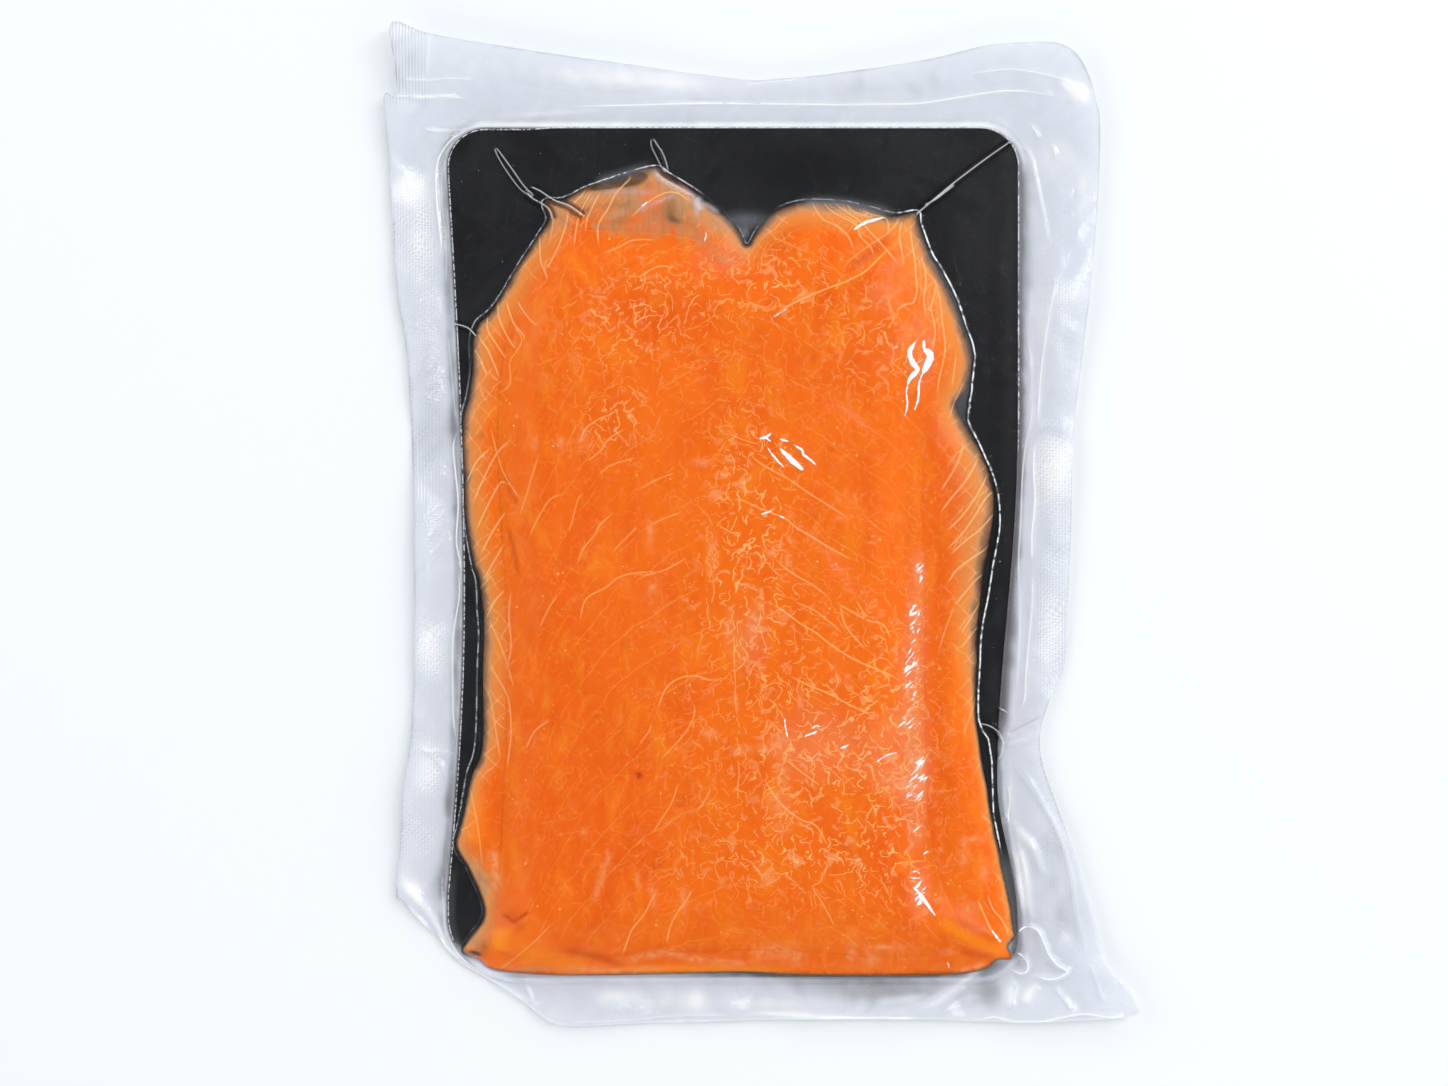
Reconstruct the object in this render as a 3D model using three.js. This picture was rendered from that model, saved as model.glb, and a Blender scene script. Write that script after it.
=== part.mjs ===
// A vacuum pack of sliced smoked salmon. A clear pouch, welded all round, holds a black card board
// with the slices lying on it. The pack lies flat with the salmon up.
// Units are millimetres. +Z is up and +Y points to the head of the pouch, where its flap is.
// The origin is the middle of the board, on the underside of the pouch.
import * as THREE from 'three';

// ---- driving dimensions ----

const clearance = 0.3; // between pieces that lie on each other
const film = { thickness: 0.3, edgeGap: 0.7 }; // edgeGap is from the board's edge to the front film
const board = {
  width: 150,
  length: 223,
  thickness: 1,
  bevel: 0.15,
  cornerRadii: [16, 10, 10, 10], // the pouch's folded corner has rounded the foot's left one
  leftWaist: { depth: 4.2, head: 100, middle: -12, foot: -90 }, // where the pouch pulls the sides in
  rightWaist: { depth: 5, head: 40, middle: -58, foot: -100 },
};
const lowerSlices = { depth: 4.2, rim: 0.7, slope: 10 }; // rim is the edge's thickness, slope its run
const upperSlice = { depth: 3.9, rim: 0.7, slope: 13, undulation: 0.35, waveLength: 75 };
const pleat = { height: 1.3, halfWidth: 5, start: [44, -86] }; // a gather into the foot's right corner
const tent = { height: 1.6, radius: 2 }; // the front film's peaks between the corners
const margin = {
  rest: 0.7, // the welded margin's least height above the ground
  wave: 0.9,
  waveLength: 100,
  run: 9, // over which it rises from the board's edge
  flap: { from: 119.4, tilt: 0.24, wave: 0.6, waveLength: 200 }, // the free flap past the head's weld
  curl: { height: 2.2, from: 1, to: 1.45, halfWidth: 106, halfLength: 139 }, // of the pouch's corners
};
const mesh = { across: 22, along: 34 }; // steps on the foot and head sides, and on the long sides
const share = { // of the way from one ring of points to the next
  middleX: 0.72,
  middleY: 0.84,
  strip: 0.55,
  filmOverSalmon: 0.1,
  footOfFilm: 0.45,
  cling: 0.5,
  band: 0.5,
};

// Heights of the faces that lie on each other.
const boardBase = film.thickness + clearance;
const boardTop = boardBase + board.thickness;
const salmonBase = boardTop + clearance;

// Each outline has four corners, anticlockwise from the foot's left one, and the points between
// them that its sides pass through.
const upperSliceOutline = {
  corners: [[-63, -102.4], [61.6, -102], [47.4, 87.6], [-48, 89.6]],
  foot: [[-40, -106], [-10, -104.5], [10, -103.5], [40, -105.4]],
  right: [[55, -89], [51, -70], [49.5, -20], [49, 8], [53, 26], [59, 37], [60.8, 52], [56.6, 67]],
  head: [[28, 87], [12, 83.4], [4.4, 76.6], [-4, 81], [-20, 85.4], [-36, 86]],
  left: [[-52.6, 75], [-58.6, 59], [-60.6, 40], [-61.4, 26], [-59.4, -20], [-59.6, -54], [-60.4, -84]],
};
const salmonOutline = {
  corners: [[-70, -104], [71.6, -105.6], [49, 90.6], [-49.6, 93]],
  foot: [[-62, -108.4], [-24, -110.4], [7, -109.4], [34, -110.6], [63, -109]],
  right: [[70.4, -84], [65.6, -58], [64, -30], [65.4, -3], [69, 15.5], [65, 29.6], [60.8, 37], [62.4, 52],
    [58.6, 67]],
  head: [[36, 91.2], [21, 93.4], [10, 90.4], [4, 82], [-1.6, 88.6], [-10.4, 96], [-20.6, 101.6], [-36, 97]],
  left: [[-54.6, 75], [-65.6, 62], [-69.2, 41], [-70.7, 26], [-65.4, -18], [-66, -50], [-72, -74],
    [-65.6, -94]],
};
const weldOutline = {
  corners: [[-71.2, -107.7], [86.6, -109.7], [86, 119], [-82, 119.8]],
  foot: [[-62.4, -112.6], [-52, -115.6], [-30, -117.8], [20, -116.8], [60, -118.6]],
  right: [[82.6, -84], [78.4, -52], [79.4, -20], [79.8, 20], [81.4, 70], [83, 100]],
  head: [[66, 121.4], [40, 119.2], [0, 118.6], [-40, 118.8]],
  left: [[-79, 90], [-76.6, 40], [-75.2, 0], [-76, -50], [-79.4, -84], [-78.2, -97]],
};
const pouchOutline = {
  corners: [[-71.8, -108.3], [106.4, -120.4], [88.6, 132], [-89.2, 139]],
  foot: [[-62, -113.8], [-51, -121], [-44, -124], [-30, -124.2], [7, -120.5], [31, -120.5], [57, -122.3],
    [90, -122.4]],
  right: [[98.6, -106], [91.8, -83], [81.6, -55], [82.4, -44], [87.4, -30], [89, 6], [91.3, 51], [95.8, 98],
    [96.4, 112], [93.6, 123]],
  head: [[77, 134.4], [66, 133.2], [51, 129.9], [31, 126.7], [6.4, 124.6], [-9, 125.9], [-35, 129.1],
    [-61, 133.6]],
  left: [[-88.4, 121.4], [-91.2, 119.6], [-89.6, 92], [-86.8, 60], [-84.4, 40], [-83.8, -22], [-86.6, -58],
    [-88.2, -88], [-81.4, -98.8]],
};

// ---- loops: rings of points that match side by side, so that one piece can follow another ----

const stepsOfSide = [mesh.across, mesh.along, mesh.across, mesh.along];

function loopOfSides(curves) {
  return curves.flatMap((curve, side) => curve.getSpacedPoints(stepsOfSide[side]).slice(0, -1));
}

function loopOfOutline({ corners, foot, right, head, left }) {
  const curves = [foot, right, head, left].map((between, side) => {
    const points = [corners[side], ...between, corners[(side + 1) % 4]];
    return new THREE.SplineCurve(points.map(([x, y]) => new THREE.Vector2(x, y)));
  });
  return loopOfSides(curves);
}

function pulledIn({ x, y }) {
  const { depth, head, middle, foot } = x < 0 ? board.leftWaist : board.rightWaist;
  const away = Math.min(1, y > middle ? (y - middle) / (head - middle) : (middle - y) / (middle - foot));
  const pull = depth * Math.cos((away * Math.PI) / 2);
  return new THREE.Vector2(x * (1 - pull / (board.width / 2)), y);
}

// The board's edge, moved outwards, as four paths that meet at the middles of its rounded corners.
function boardPaths(outwards) {
  const corners = [[-1, -1], [1, -1], [1, 1], [-1, 1]].map(([sx, sy], i) => {
    const radius = board.cornerRadii[i];
    return [sx * (board.width / 2 - radius), sy * (board.length / 2 - radius), radius + outwards];
  });
  return corners.map((corner, side) => {
    const middleOfArc = (5 + 2 * side) * (Math.PI / 4);
    const endOfArc = middleOfArc + Math.PI / 4;
    const path = new THREE.Path();
    path.absarc(...corner, middleOfArc, endOfArc);
    path.absarc(...corners[(side + 1) % 4], endOfArc, endOfArc + Math.PI / 4);
    return path;
  });
}

function loopOfBoard(outwards) {
  return loopOfSides(boardPaths(outwards)).map(pulledIn);
}

function between(inner, outer, part) {
  return inner.map((point, i) => point.clone().lerp(outer[i], part));
}

// How far (x, y) is from the segment between two points, and how far along it, from 0 to 1.
function fromSegment([ax, ay], [bx, by], x, y) {
  const [dx, dy] = [bx - ax, by - ay];
  const along = THREE.MathUtils.clamp(((x - ax) * dx + (y - ay) * dy) / (dx * dx + dy * dy), 0, 1);
  return { along, away: Math.hypot(ax + along * dx - x, ay + along * dy - y) };
}

function distanceTo(loop, x, y) {
  const distances = loop.map((a, i) => {
    const b = loop[(i + 1) % loop.length];
    return fromSegment([a.x, a.y], [b.x, b.y], x, y).away;
  });
  return Math.min(...distances);
}

const upperLoop = loopOfOutline(upperSliceOutline);
const salmonLoop = loopOfOutline(salmonOutline);
const middleLoop = upperLoop.map(({ x, y }) => new THREE.Vector2(share.middleX * x, share.middleY * y));
const stripLoop = between(upperLoop, salmonLoop, share.strip);
const boardLoop = loopOfBoard(film.edgeGap);
const filmOverSalmonLoop = between(salmonLoop, boardLoop, share.filmOverSalmon);
const footOfFilmLoop = between(salmonLoop, boardLoop, share.footOfFilm);
const weldLoop = loopOfOutline(weldOutline);
const clingLoop = between(boardLoop, weldLoop, share.cling);
const pouchLoop = loopOfOutline(pouchOutline);
const bandLoop = between(weldLoop, pouchLoop, share.band);

// ---- heights ----

const crowned = (value, run) => 1 - (1 - THREE.MathUtils.clamp(value / run, 0, 1)) ** 2;
const { smoothstep } = THREE.MathUtils;
const wave = (value, length) => Math.sin((2 * Math.PI * value) / length);

function lowerSurface({ x, y }) {
  const crown = crowned(distanceTo(salmonLoop, x, y), lowerSlices.slope);
  const { along, away } = fromSegment(pleat.start, salmonOutline.corners[1], x, y);
  const gather = pleat.height * Math.exp(-((away / pleat.halfWidth) ** 2)) * smoothstep(along, 0, 0.5);
  return salmonBase + lowerSlices.rim + (lowerSlices.depth - lowerSlices.rim) * crown + gather;
}

const upperBase = (point) => lowerSurface(point) + clearance;

function upperSurface(point) {
  const { x, y } = point;
  const crown = crowned(distanceTo(upperLoop, x, y), upperSlice.slope);
  const waves = wave(x, upperSlice.waveLength) + wave(y - Math.abs(x), upperSlice.waveLength);
  const undulation = upperSlice.undulation * waves * crown;
  const depth = upperSlice.rim + (upperSlice.depth - upperSlice.rim) * crown;
  return upperBase(point) + depth + undulation;
}

function marginLift({ x, y }) {
  const { rest, waveLength, run, flap, curl } = margin;
  const away = smoothstep(distanceTo(clingLoop, x, y), 0, run);
  const waves = margin.wave * (1 + wave(x + y / 2, waveLength) * wave(y - x / 2, waveLength));
  const flapLift = Math.max(0, y - flap.from) * flap.tilt * (1 + flap.wave * wave(x + 50, flap.waveLength));
  const outwards = Math.hypot(x / curl.halfWidth, y / curl.halfLength);
  const curlLift = curl.height * smoothstep(outwards, curl.from, curl.to);
  return away * (rest + waves + flapLift + curlLift);
}

// ---- solids from matching loops ----

// A surface over rings of points. Inside the first ring lies a grid stretched over it, or with
// plainMiddle the fewest triangles. heights has one height function for the grid and first ring,
// and one for each ring after it.
function surface(rings, heights, plainMiddle = false) {
  const points = [];
  const faces = [];
  const add = (point, height) => points.push([point.x, point.y, height(point)]) - 1;
  const heightOf = (k) => heights[Math.min(k, heights.length - 1)];
  const ids = rings.map((ring, k) => ring.map((point) => add(point, heightOf(k))));
  const count = rings[0].length;
  for (let k = 1; k < rings.length; k++) {
    for (let i = 0; i < count; i++) {
      const next = (i + 1) % count;
      faces.push([ids[k - 1][i], ids[k][i], ids[k][next]], [ids[k - 1][i], ids[k][next], ids[k - 1][next]]);
    }
  }
  if (plainMiddle) faces.push(...THREE.ShapeUtils.triangulateShape(rings[0], []));
  else addGrid(rings[0], ids[0], (point) => add(point, heights[0]), faces);
  return { points, faces, rim: ids.at(-1) };
}

// Fills a loop with a grid blended from its four sides.
function addGrid(ring, ids, addPoint, faces) {
  const { across, along } = mesh;
  const count = ring.length;
  const sideIds = (i, j) => {
    if (j === 0) return i;
    if (i === across) return across + j;
    if (j === along) return 2 * across + along - i;
    return (count - j) % count;
  };
  const grid = [];
  for (let j = 0; j <= along; j++) {
    grid.push([]);
    for (let i = 0; i <= across; i++) {
      if (i % across === 0 || j % along === 0) {
        grid[j].push(ids[sideIds(i, j)]);
        continue;
      }
      const [u, v] = [i / across, j / along];
      const at = (a, b) => ring[sideIds(a, b)];
      const blend = (axis) => (1 - v) * at(i, 0)[axis] + v * at(i, along)[axis]
        + (1 - u) * at(0, j)[axis] + u * at(across, j)[axis]
        - (1 - u) * (1 - v) * at(0, 0)[axis] - u * (1 - v) * at(across, 0)[axis]
        - (1 - u) * v * at(0, along)[axis] - u * v * at(across, along)[axis];
      grid[j].push(addPoint(new THREE.Vector2(blend('x'), blend('y'))));
    }
  }
  for (let j = 0; j < along; j++) {
    for (let i = 0; i < across; i++) {
      const [a, b, c, d] = [grid[j][i], grid[j][i + 1], grid[j + 1][i + 1], grid[j + 1][i]];
      faces.push([a, b, c], [a, c, d]);
    }
  }
}

// Closes an upper and a lower surface with the same outer ring into one solid.
function solidBetween(upper, lower) {
  const shift = upper.points.length;
  const faces = [...upper.faces, ...lower.faces.map(([a, b, c]) => [a + shift, c + shift, b + shift])];
  upper.rim.forEach((top, i) => {
    const next = (i + 1) % upper.rim.length;
    const [bottom, nextBottom] = [lower.rim[i] + shift, lower.rim[next] + shift];
    faces.push([top, bottom, nextBottom], [top, nextBottom, upper.rim[next]]);
  });
  const geometry = new THREE.BufferGeometry();
  geometry.setAttribute(
    'position',
    new THREE.Float32BufferAttribute([...upper.points, ...lower.points].flat(), 3),
  );
  geometry.setIndex(faces.flat());
  geometry.computeVertexNormals();
  return geometry;
}

const flatAt = (z) => () => z;

// ---- pieces ----

function piece(name, geometry, material) {
  const made = new THREE.Mesh(geometry, material);
  made.name = name;
  return made;
}

// The back film and the welded margin: flat under the board, wavy round it.
function pouchBack() {
  const rings = [clingLoop, weldLoop, bandLoop, pouchLoop];
  const top = surface(rings, [(point) => marginLift(point) + film.thickness], true);
  const bottom = surface(rings, [marginLift], true);
  return piece('pouch_back', solidBetween(top, bottom), new THREE.MeshStandardMaterial({
    color: 0xd9dce6, roughness: 0.25, metalness: 0, transparent: true, opacity: 0.6,
  }));
}

function cardBoard() {
  const outline = boardPaths(0)
    .flatMap((path) => path.curves)
    .flatMap((curve) => curve.getPoints(curve.isLineCurve ? 20 : 2).slice(0, -1))
    .map(pulledIn);
  const geometry = new THREE.ExtrudeGeometry(new THREE.Shape(outline), {
    depth: board.thickness - 2 * board.bevel,
    bevelEnabled: true,
    bevelThickness: board.bevel,
    bevelSize: board.bevel,
    bevelOffset: -board.bevel,
    bevelSegments: 1,
  });
  const made = piece('board', geometry, new THREE.MeshStandardMaterial({
    color: 0x2b2c2e, roughness: 0.5, metalness: 0,
  }));
  made.position.z = boardBase + board.bevel;
  return made;
}

const salmonMaterial = (color) => new THREE.MeshStandardMaterial({ color, roughness: 0.35, metalness: 0 });

// The slices under the upper one, which show as a paler strip round it.
function lowerSlicesPiece() {
  const rings = [middleLoop, upperLoop, stripLoop, salmonLoop];
  const top = surface(rings, [lowerSurface], true);
  const bottom = surface([salmonLoop], [flatAt(salmonBase)], true);
  return piece('salmon_lower_slices', solidBetween(top, bottom), salmonMaterial(0xf39a52));
}

function upperSlicePiece() {
  const top = surface([upperLoop], [upperSurface]);
  const bottom = surface([middleLoop, upperLoop], [upperBase], true);
  return piece('salmon_upper_slice', solidBetween(top, bottom), salmonMaterial(0xf77a22));
}

// The front film, drawn down over the salmon and the board as far as the welded margin.
function pouchFront() {
  const cornerSteps = [0, 1, 2, 3].map((side) => stepsOfSide.slice(0, side).reduce((sum, n) => sum + n, 0));
  const overSalmon = (point) => upperSurface(point) + clearance;
  const overStrip = (point) => lowerSurface(point) + clearance;
  const onBoard = (point) => {
    const away = Math.min(...cornerSteps.map((i) => point.distanceTo(footOfFilmLoop[i])));
    return boardTop + clearance + tent.height * Math.exp(-((away / tent.radius) ** 2));
  };
  const atEdge = flatAt(boardTop + clearance);
  const clinging = flatAt(film.thickness + clearance);
  const rings = [upperLoop, stripLoop, filmOverSalmonLoop, footOfFilmLoop, boardLoop, clingLoop];
  const heights = [overSalmon, overStrip, overStrip, onBoard, atEdge, clinging];
  const raised = heights.map((height) => (point) => height(point) + film.thickness);
  return piece('pouch_front', solidBetween(surface(rings, raised), surface(rings, heights)),
    new THREE.MeshStandardMaterial({
      color: 0xf4f6fb, roughness: 0.08, metalness: 0, transparent: true, opacity: 0.25,
    }));
}

const pack = new THREE.Group();
pack.add(pouchBack(), cardBoard(), lowerSlicesPiece(), upperSlicePiece(), pouchFront());

export default pack;
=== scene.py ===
import bpy
import numpy as np
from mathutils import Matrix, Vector
from mathutils.geometry import delaunay_2d_cdt
from mathutils.kdtree import KDTree


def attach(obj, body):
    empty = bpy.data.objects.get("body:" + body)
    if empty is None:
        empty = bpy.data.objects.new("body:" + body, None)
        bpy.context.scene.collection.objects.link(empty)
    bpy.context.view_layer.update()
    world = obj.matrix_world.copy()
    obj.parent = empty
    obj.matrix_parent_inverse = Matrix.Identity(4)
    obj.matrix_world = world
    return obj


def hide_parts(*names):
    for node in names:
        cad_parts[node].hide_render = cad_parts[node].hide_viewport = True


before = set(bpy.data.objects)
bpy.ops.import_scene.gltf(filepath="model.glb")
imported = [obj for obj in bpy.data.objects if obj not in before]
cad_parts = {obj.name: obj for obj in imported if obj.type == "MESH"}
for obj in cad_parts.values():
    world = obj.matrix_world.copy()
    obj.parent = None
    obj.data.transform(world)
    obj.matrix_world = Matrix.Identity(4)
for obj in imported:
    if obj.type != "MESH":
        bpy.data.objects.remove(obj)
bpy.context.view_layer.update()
scene = bpy.context.scene
print("frame loaded:", sorted(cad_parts))

# Lengths are in millimetres in the frame of the solids, except for the studio's and those that shaders
# take, which are in metres. Colours are 0-255 as on a screen.

# Camera and light.
studio = {
    "cameraPlace": (-0.00223, 0.0025, 0.9), "lens": 85, "sensorWidth": 36,
    "overhead": 0.12, "around": 1.62, "darkFrom": 0.7, "brightFrom": 0.5, "tint": (0.97, 0.985, 1, 1),
    "keyPlace": (1.25, 0.78, 1.9), "keySize": (0.2, 2.3), "keyGlow": 20.6,
    "fillPlace": (-2.4, 0.5, 1.3), "fillSize": (1.2, 2.4), "fillGlow": 1.2,
    "floor": (244, 248, 250), "floorHalf": 4,
}

camera = bpy.data.objects.new("camera", bpy.data.cameras.new("camera"))
scene.collection.objects.link(camera)
camera.location = studio["cameraPlace"]
camera.data.lens = studio["lens"]
camera.data.sensor_width = studio["sensorWidth"]
scene.camera = camera
scene.view_settings.view_transform = "Standard"


# A screen colour as the shaders need it, by the curve of sRGB.
def linear(colour):
    c = np.array(colour, float) / 255
    return (*np.where(c <= 0.04045, c / 12.92, ((c + 0.055) / 1.055) ** 2.4), 1.0)


def softBox(name, place, size, glow):
    lamp = bpy.data.lights.new(name, "AREA")
    lamp.shape = "RECTANGLE"
    lamp.size, lamp.size_y = size
    lamp.energy = glow * size[0] * size[1] * np.pi
    box = bpy.data.objects.new(name, lamp)
    scene.collection.objects.link(box)
    box.location = place
    box.rotation_euler = Vector(place).to_track_quat("Z", "Y").to_euler()


softBox("keyLight", studio["keyPlace"], studio["keySize"], studio["keyGlow"])
softBox("fillLight", studio["fillPlace"], studio["fillSize"], studio["fillGlow"])
# a white tent round the table, with a dark opening overhead where the camera hangs
world = bpy.data.worlds.new("studio")
scene.world = world
world.use_nodes = True
sky = world.node_tree
facing = sky.nodes.new("ShaderNodeTexCoord")
heightOf = sky.nodes.new("ShaderNodeSeparateXYZ")
tent = sky.nodes.new("ShaderNodeMapRange")
tent.interpolation_type = "SMOOTHSTEP"
sky.links.new(facing.outputs["Generated"], heightOf.inputs[0])
sky.links.new(heightOf.outputs["Z"], tent.inputs["Value"])
for label, value in (("From Min", studio["brightFrom"]), ("From Max", studio["darkFrom"]),
                     ("To Min", studio["around"]), ("To Max", studio["overhead"])):
    tent.inputs[label].default_value = value
sky.nodes["Background"].inputs["Color"].default_value = studio["tint"]
sky.links.new(tent.outputs["Result"], sky.nodes["Background"].inputs["Strength"])


# From 0 at start to 1 at full, which may be the lower one of the two.
def smooth(value, start, full):
    t = np.clip((value - start) / (full - start), 0, 1)
    return t * t * (3 - 2 * t)


# 1 at the middle and soon 0 on both sides of it.
def bell(value, width, middle=0.0):
    return np.exp(-(((value - middle) / width) ** 2))


# Fades a line out towards both of its ends.
def fadeEnds(along, run):
    return smooth(along, 0, run) * smooth(1 - along, 0, run)


# A share of the plan within soft limits: pairs of start and full, across the plan and up it.
def zone(xy, across=(), up=()):
    share = np.ones(len(xy))
    for axis, limits in enumerate((across, up)):
        for start, full in limits:
            share *= smooth(xy[:, axis], start, full)
    return share


# A soft oval patch on the plan: middle, half length, half width and turn in degrees.
def patch(xy, middle, size, turn=0):
    a = np.radians(turn)
    rel = xy - middle
    u = (rel @ (np.cos(a), np.sin(a))) / size[0]
    v = (rel @ (-np.sin(a), np.cos(a))) / size[1]
    return np.exp(-(u**2 + v**2))


# The sum of patches, each with its strength first.
def spread(xy, spots):
    return sum(strength * patch(xy, *place) for strength, *place in spots)


def softNoise(xy, size, seed):
    rng = np.random.default_rng(seed)
    warp = xy + size * 0.35 * np.sin(xy[:, ::-1] * (2.6 / size) + rng.uniform(0, 6, 2))
    total = np.zeros(len(xy))
    for turn in rng.uniform(0, np.pi, 7):
        pace = 2 * np.pi / (size * rng.uniform(0.75, 1.5))
        total += np.sin(warp @ (np.cos(turn), np.sin(turn)) * pace + rng.uniform(0, 6))
    return total / 3.2


# An even line through points, as smooth as a bent wire.
def smoothLine(points, closed=False, step=0.7, parts=12):
    p = np.array(points, float)
    p = np.vstack([p[-1:], p, p[:2]] if closed else [2 * p[0] - p[1], p, 2 * p[-1] - p[-2]])
    t = np.linspace(0, 1, parts, endpoint=False)[:, None, None]
    a, b, c, d = p[:-3], p[1:-2], p[2:-1], p[3:]
    bends = (2 * b + (c - a) * t + (2 * a - 5 * b + 4 * c - d) * t**2
             + (3 * b - a - 3 * c + d) * t**3) / 2
    bends = np.vstack([bends.transpose(1, 0, 2).reshape(-1, 2), p[-2:-1]])
    length = np.concatenate([[0], np.cumsum(np.hypot(*np.diff(bends, axis=0).T))])
    even = np.linspace(0, length[-1], max(3, round(length[-1] / step) + 1))
    line = np.stack([np.interp(even, length, bends[:, k]) for k in (0, 1)], 1)
    return line[:-1] if closed else line


# The same rows, with the points at the end of each made an even line.
def withLines(rows, step=0.7):
    return [(*row, smoothLine(points, step=step)) for *row, points in rows]


# The unit step to the left of each step along a line.
def leftOf(run):
    return np.stack([-run[:, 1], run[:, 0]], 1) / np.hypot(*run.T)[:, None]


# More than 0 where a loop runs anticlockwise.
def turningOf(loop):
    after = np.roll(loop, -1, 0)
    return np.sum(loop[:, 0] * after[:, 1] - loop[:, 1] * after[:, 0])


# Which points lie in the box round a line, or within reach of it.
def nearBox(xy, line, reach):
    return np.flatnonzero(((xy > line.min(0) - reach) & (xy < line.max(0) + reach)).all(1))


# For each point the nearest place on a line: its distance, place along the line in steps, nearest
# corner of the line and the way from the line to the point.
def nearestOn(xy, line, closed):
    count = len(line)
    tree = KDTree(count)
    for i, (x, y) in enumerate(line.tolist()):
        tree.insert((x, y, 0), i)
    tree.balance()
    corner = np.array([tree.find((x, y, 0))[1] for x, y in xy.tolist()], int)
    away, along, offset = np.full(len(xy), 1e9), np.zeros(len(xy)), np.zeros((len(xy), 2))
    for first in (corner - 1, corner):
        first = first % count if closed else np.clip(first, 0, count - 2)
        start, run = line[first], line[(first + 1) % count] - line[first]
        t = np.clip(((xy - start) * run).sum(1) / (run**2).sum(1), 0, 1)
        gap = xy - start - t[:, None] * run
        length = np.hypot(*gap.T)
        closer = length < away
        away[closer], along[closer], offset[closer] = length[closer], (first + t)[closer], gap[closer]
    return away, along, corner, offset


# How far each point is from a line, up to reach, and how far along the line, from 0 to 1.
def nearLine(xy, line, reach, closed=False):
    distance, share = np.full(len(xy), float(reach)), np.zeros(len(xy))
    near = nearBox(xy, line, reach)
    if len(near):
        away, along, _, _ = nearestOn(xy[near], line, closed)
        distance[near] = np.minimum(away, reach)
        share[near] = along / (len(line) - (0 if closed else 1))
    return distance, share


# Beside drawn lines: how far to the left or right of the nearest one, and how strong that line is.
def besideLines(xy, lines, reach=1.5):
    side, share = np.full(len(xy), float(reach)), np.zeros(len(xy))
    for strength, line in lines:
        near = nearBox(xy, line, reach)
        if len(near):
            away, along, corner, offset = nearestOn(xy[near], line, False)
            run = np.gradient(line, axis=0)[corner]
            turn = np.sign(run[:, 0] * offset[:, 1] - run[:, 1] * offset[:, 0])
            ends = fadeEnds(along / (len(line) - 1), 0.15)
            closer = away < np.abs(side[near])
            side[near[closer]] = (away * turn)[closer]
            share[near[closer]] = (strength * ends * (1 - smooth(away, 0.6 * reach, reach)))[closer]
    return side, share


# A soft mask along lines: strength, half width and line.
def softLines(xy, lines):
    total = np.zeros(len(xy))
    for strength, width, line in lines:
        away, along = nearLine(xy, line, width * 2.4)
        total = np.maximum(total, strength * fadeEnds(along, 0.2) * bell(away, width))
    return total


# The half width of a line along its way, full at the middle and nothing at the ends.
def pointedWidth(width, along):
    return width * 2 * np.sqrt(np.clip(along * (1 - along), 0, 1))


# How far outside of lines with pointed ends each point is, up to reach, negative inside them.
def pointedLines(xy, lines, reach=1.2):
    gap = np.full(len(xy), float(reach))
    for width, line in lines:
        away, along = nearLine(xy, line, reach + width)
        gap = np.minimum(gap, away - pointedWidth(width, along))
    return np.where(gap > reach, reach, gap)


knownDepths = {}
farthest = 24


# How deep inside a loop each point is, negative outside, up to reach either way.
def depthIn(xy, loop, reach):
    if (id(xy), id(loop)) not in knownDepths:
        depth = np.full(len(xy), -float(farthest))
        near = nearBox(xy, loop, farthest)
        inner = leftOf(np.roll(loop, -1, 0) - loop) * np.sign(turningOf(loop))
        inner = inner + np.roll(inner, 1, 0)
        away, _, corner, offset = nearestOn(xy[near], loop, True)
        depth[near] = np.where((offset * inner[corner]).sum(1) > 0, away, -away)
        knownDepths[id(xy), id(loop)] = depth, xy, loop
    return np.clip(knownDepths[id(xy), id(loop)][0], -reach, reach)


board = {
    "width": 150, "length": 223, "radii": (16, 10, 10, 10), "bottom": 0.6, "top": 1.6, "bevel": 0.22,
    # how far each side is pulled in, its head, middle and foot, and how narrow the pull is
    "leftWaist": (4.2, 100, -12, -90, 1), "rightWaist": (5.4, 40, -60, -100, 2.5),
    "cornerParts": 19, "step": 0.7,
}


def boardOutline():
    half = np.array([board["width"] / 2, board["length"] / 2])
    points = []
    for corner, (sx, sy) in enumerate([(-1, -1), (1, -1), (1, 1), (-1, 1)]):
        radius = board["radii"][corner]
        turns = np.radians(np.linspace(180 + 90 * corner, 270 + 90 * corner, board["cornerParts"]))
        middle = half * (sx, sy) - radius * np.array([sx, sy])
        points.append(middle + radius * np.stack([np.cos(turns), np.sin(turns)], 1))
    ring = np.vstack(points)
    even = []
    for start, end in zip(ring, np.roll(ring, -1, 0)):
        count = max(1, round(np.hypot(*(end - start)) / board["step"]))
        even.append(start + (end - start) * np.linspace(0, 1, count, endpoint=False)[:, None])
    even = np.vstack(even)
    depth, head, middle, foot, narrow = np.where(
        even[:, :1] < 0, board["leftWaist"], board["rightWaist"]).T
    y = even[:, 1]
    share = np.where(y > middle, (y - middle) / (head - middle), (middle - y) / (middle - foot))
    pull = depth * np.cos(np.clip(share, 0, 1) * np.pi / 2) ** narrow
    even[:, 0] *= 1 - pull / half[0]
    return even


boardLoop = boardOutline()

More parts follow.
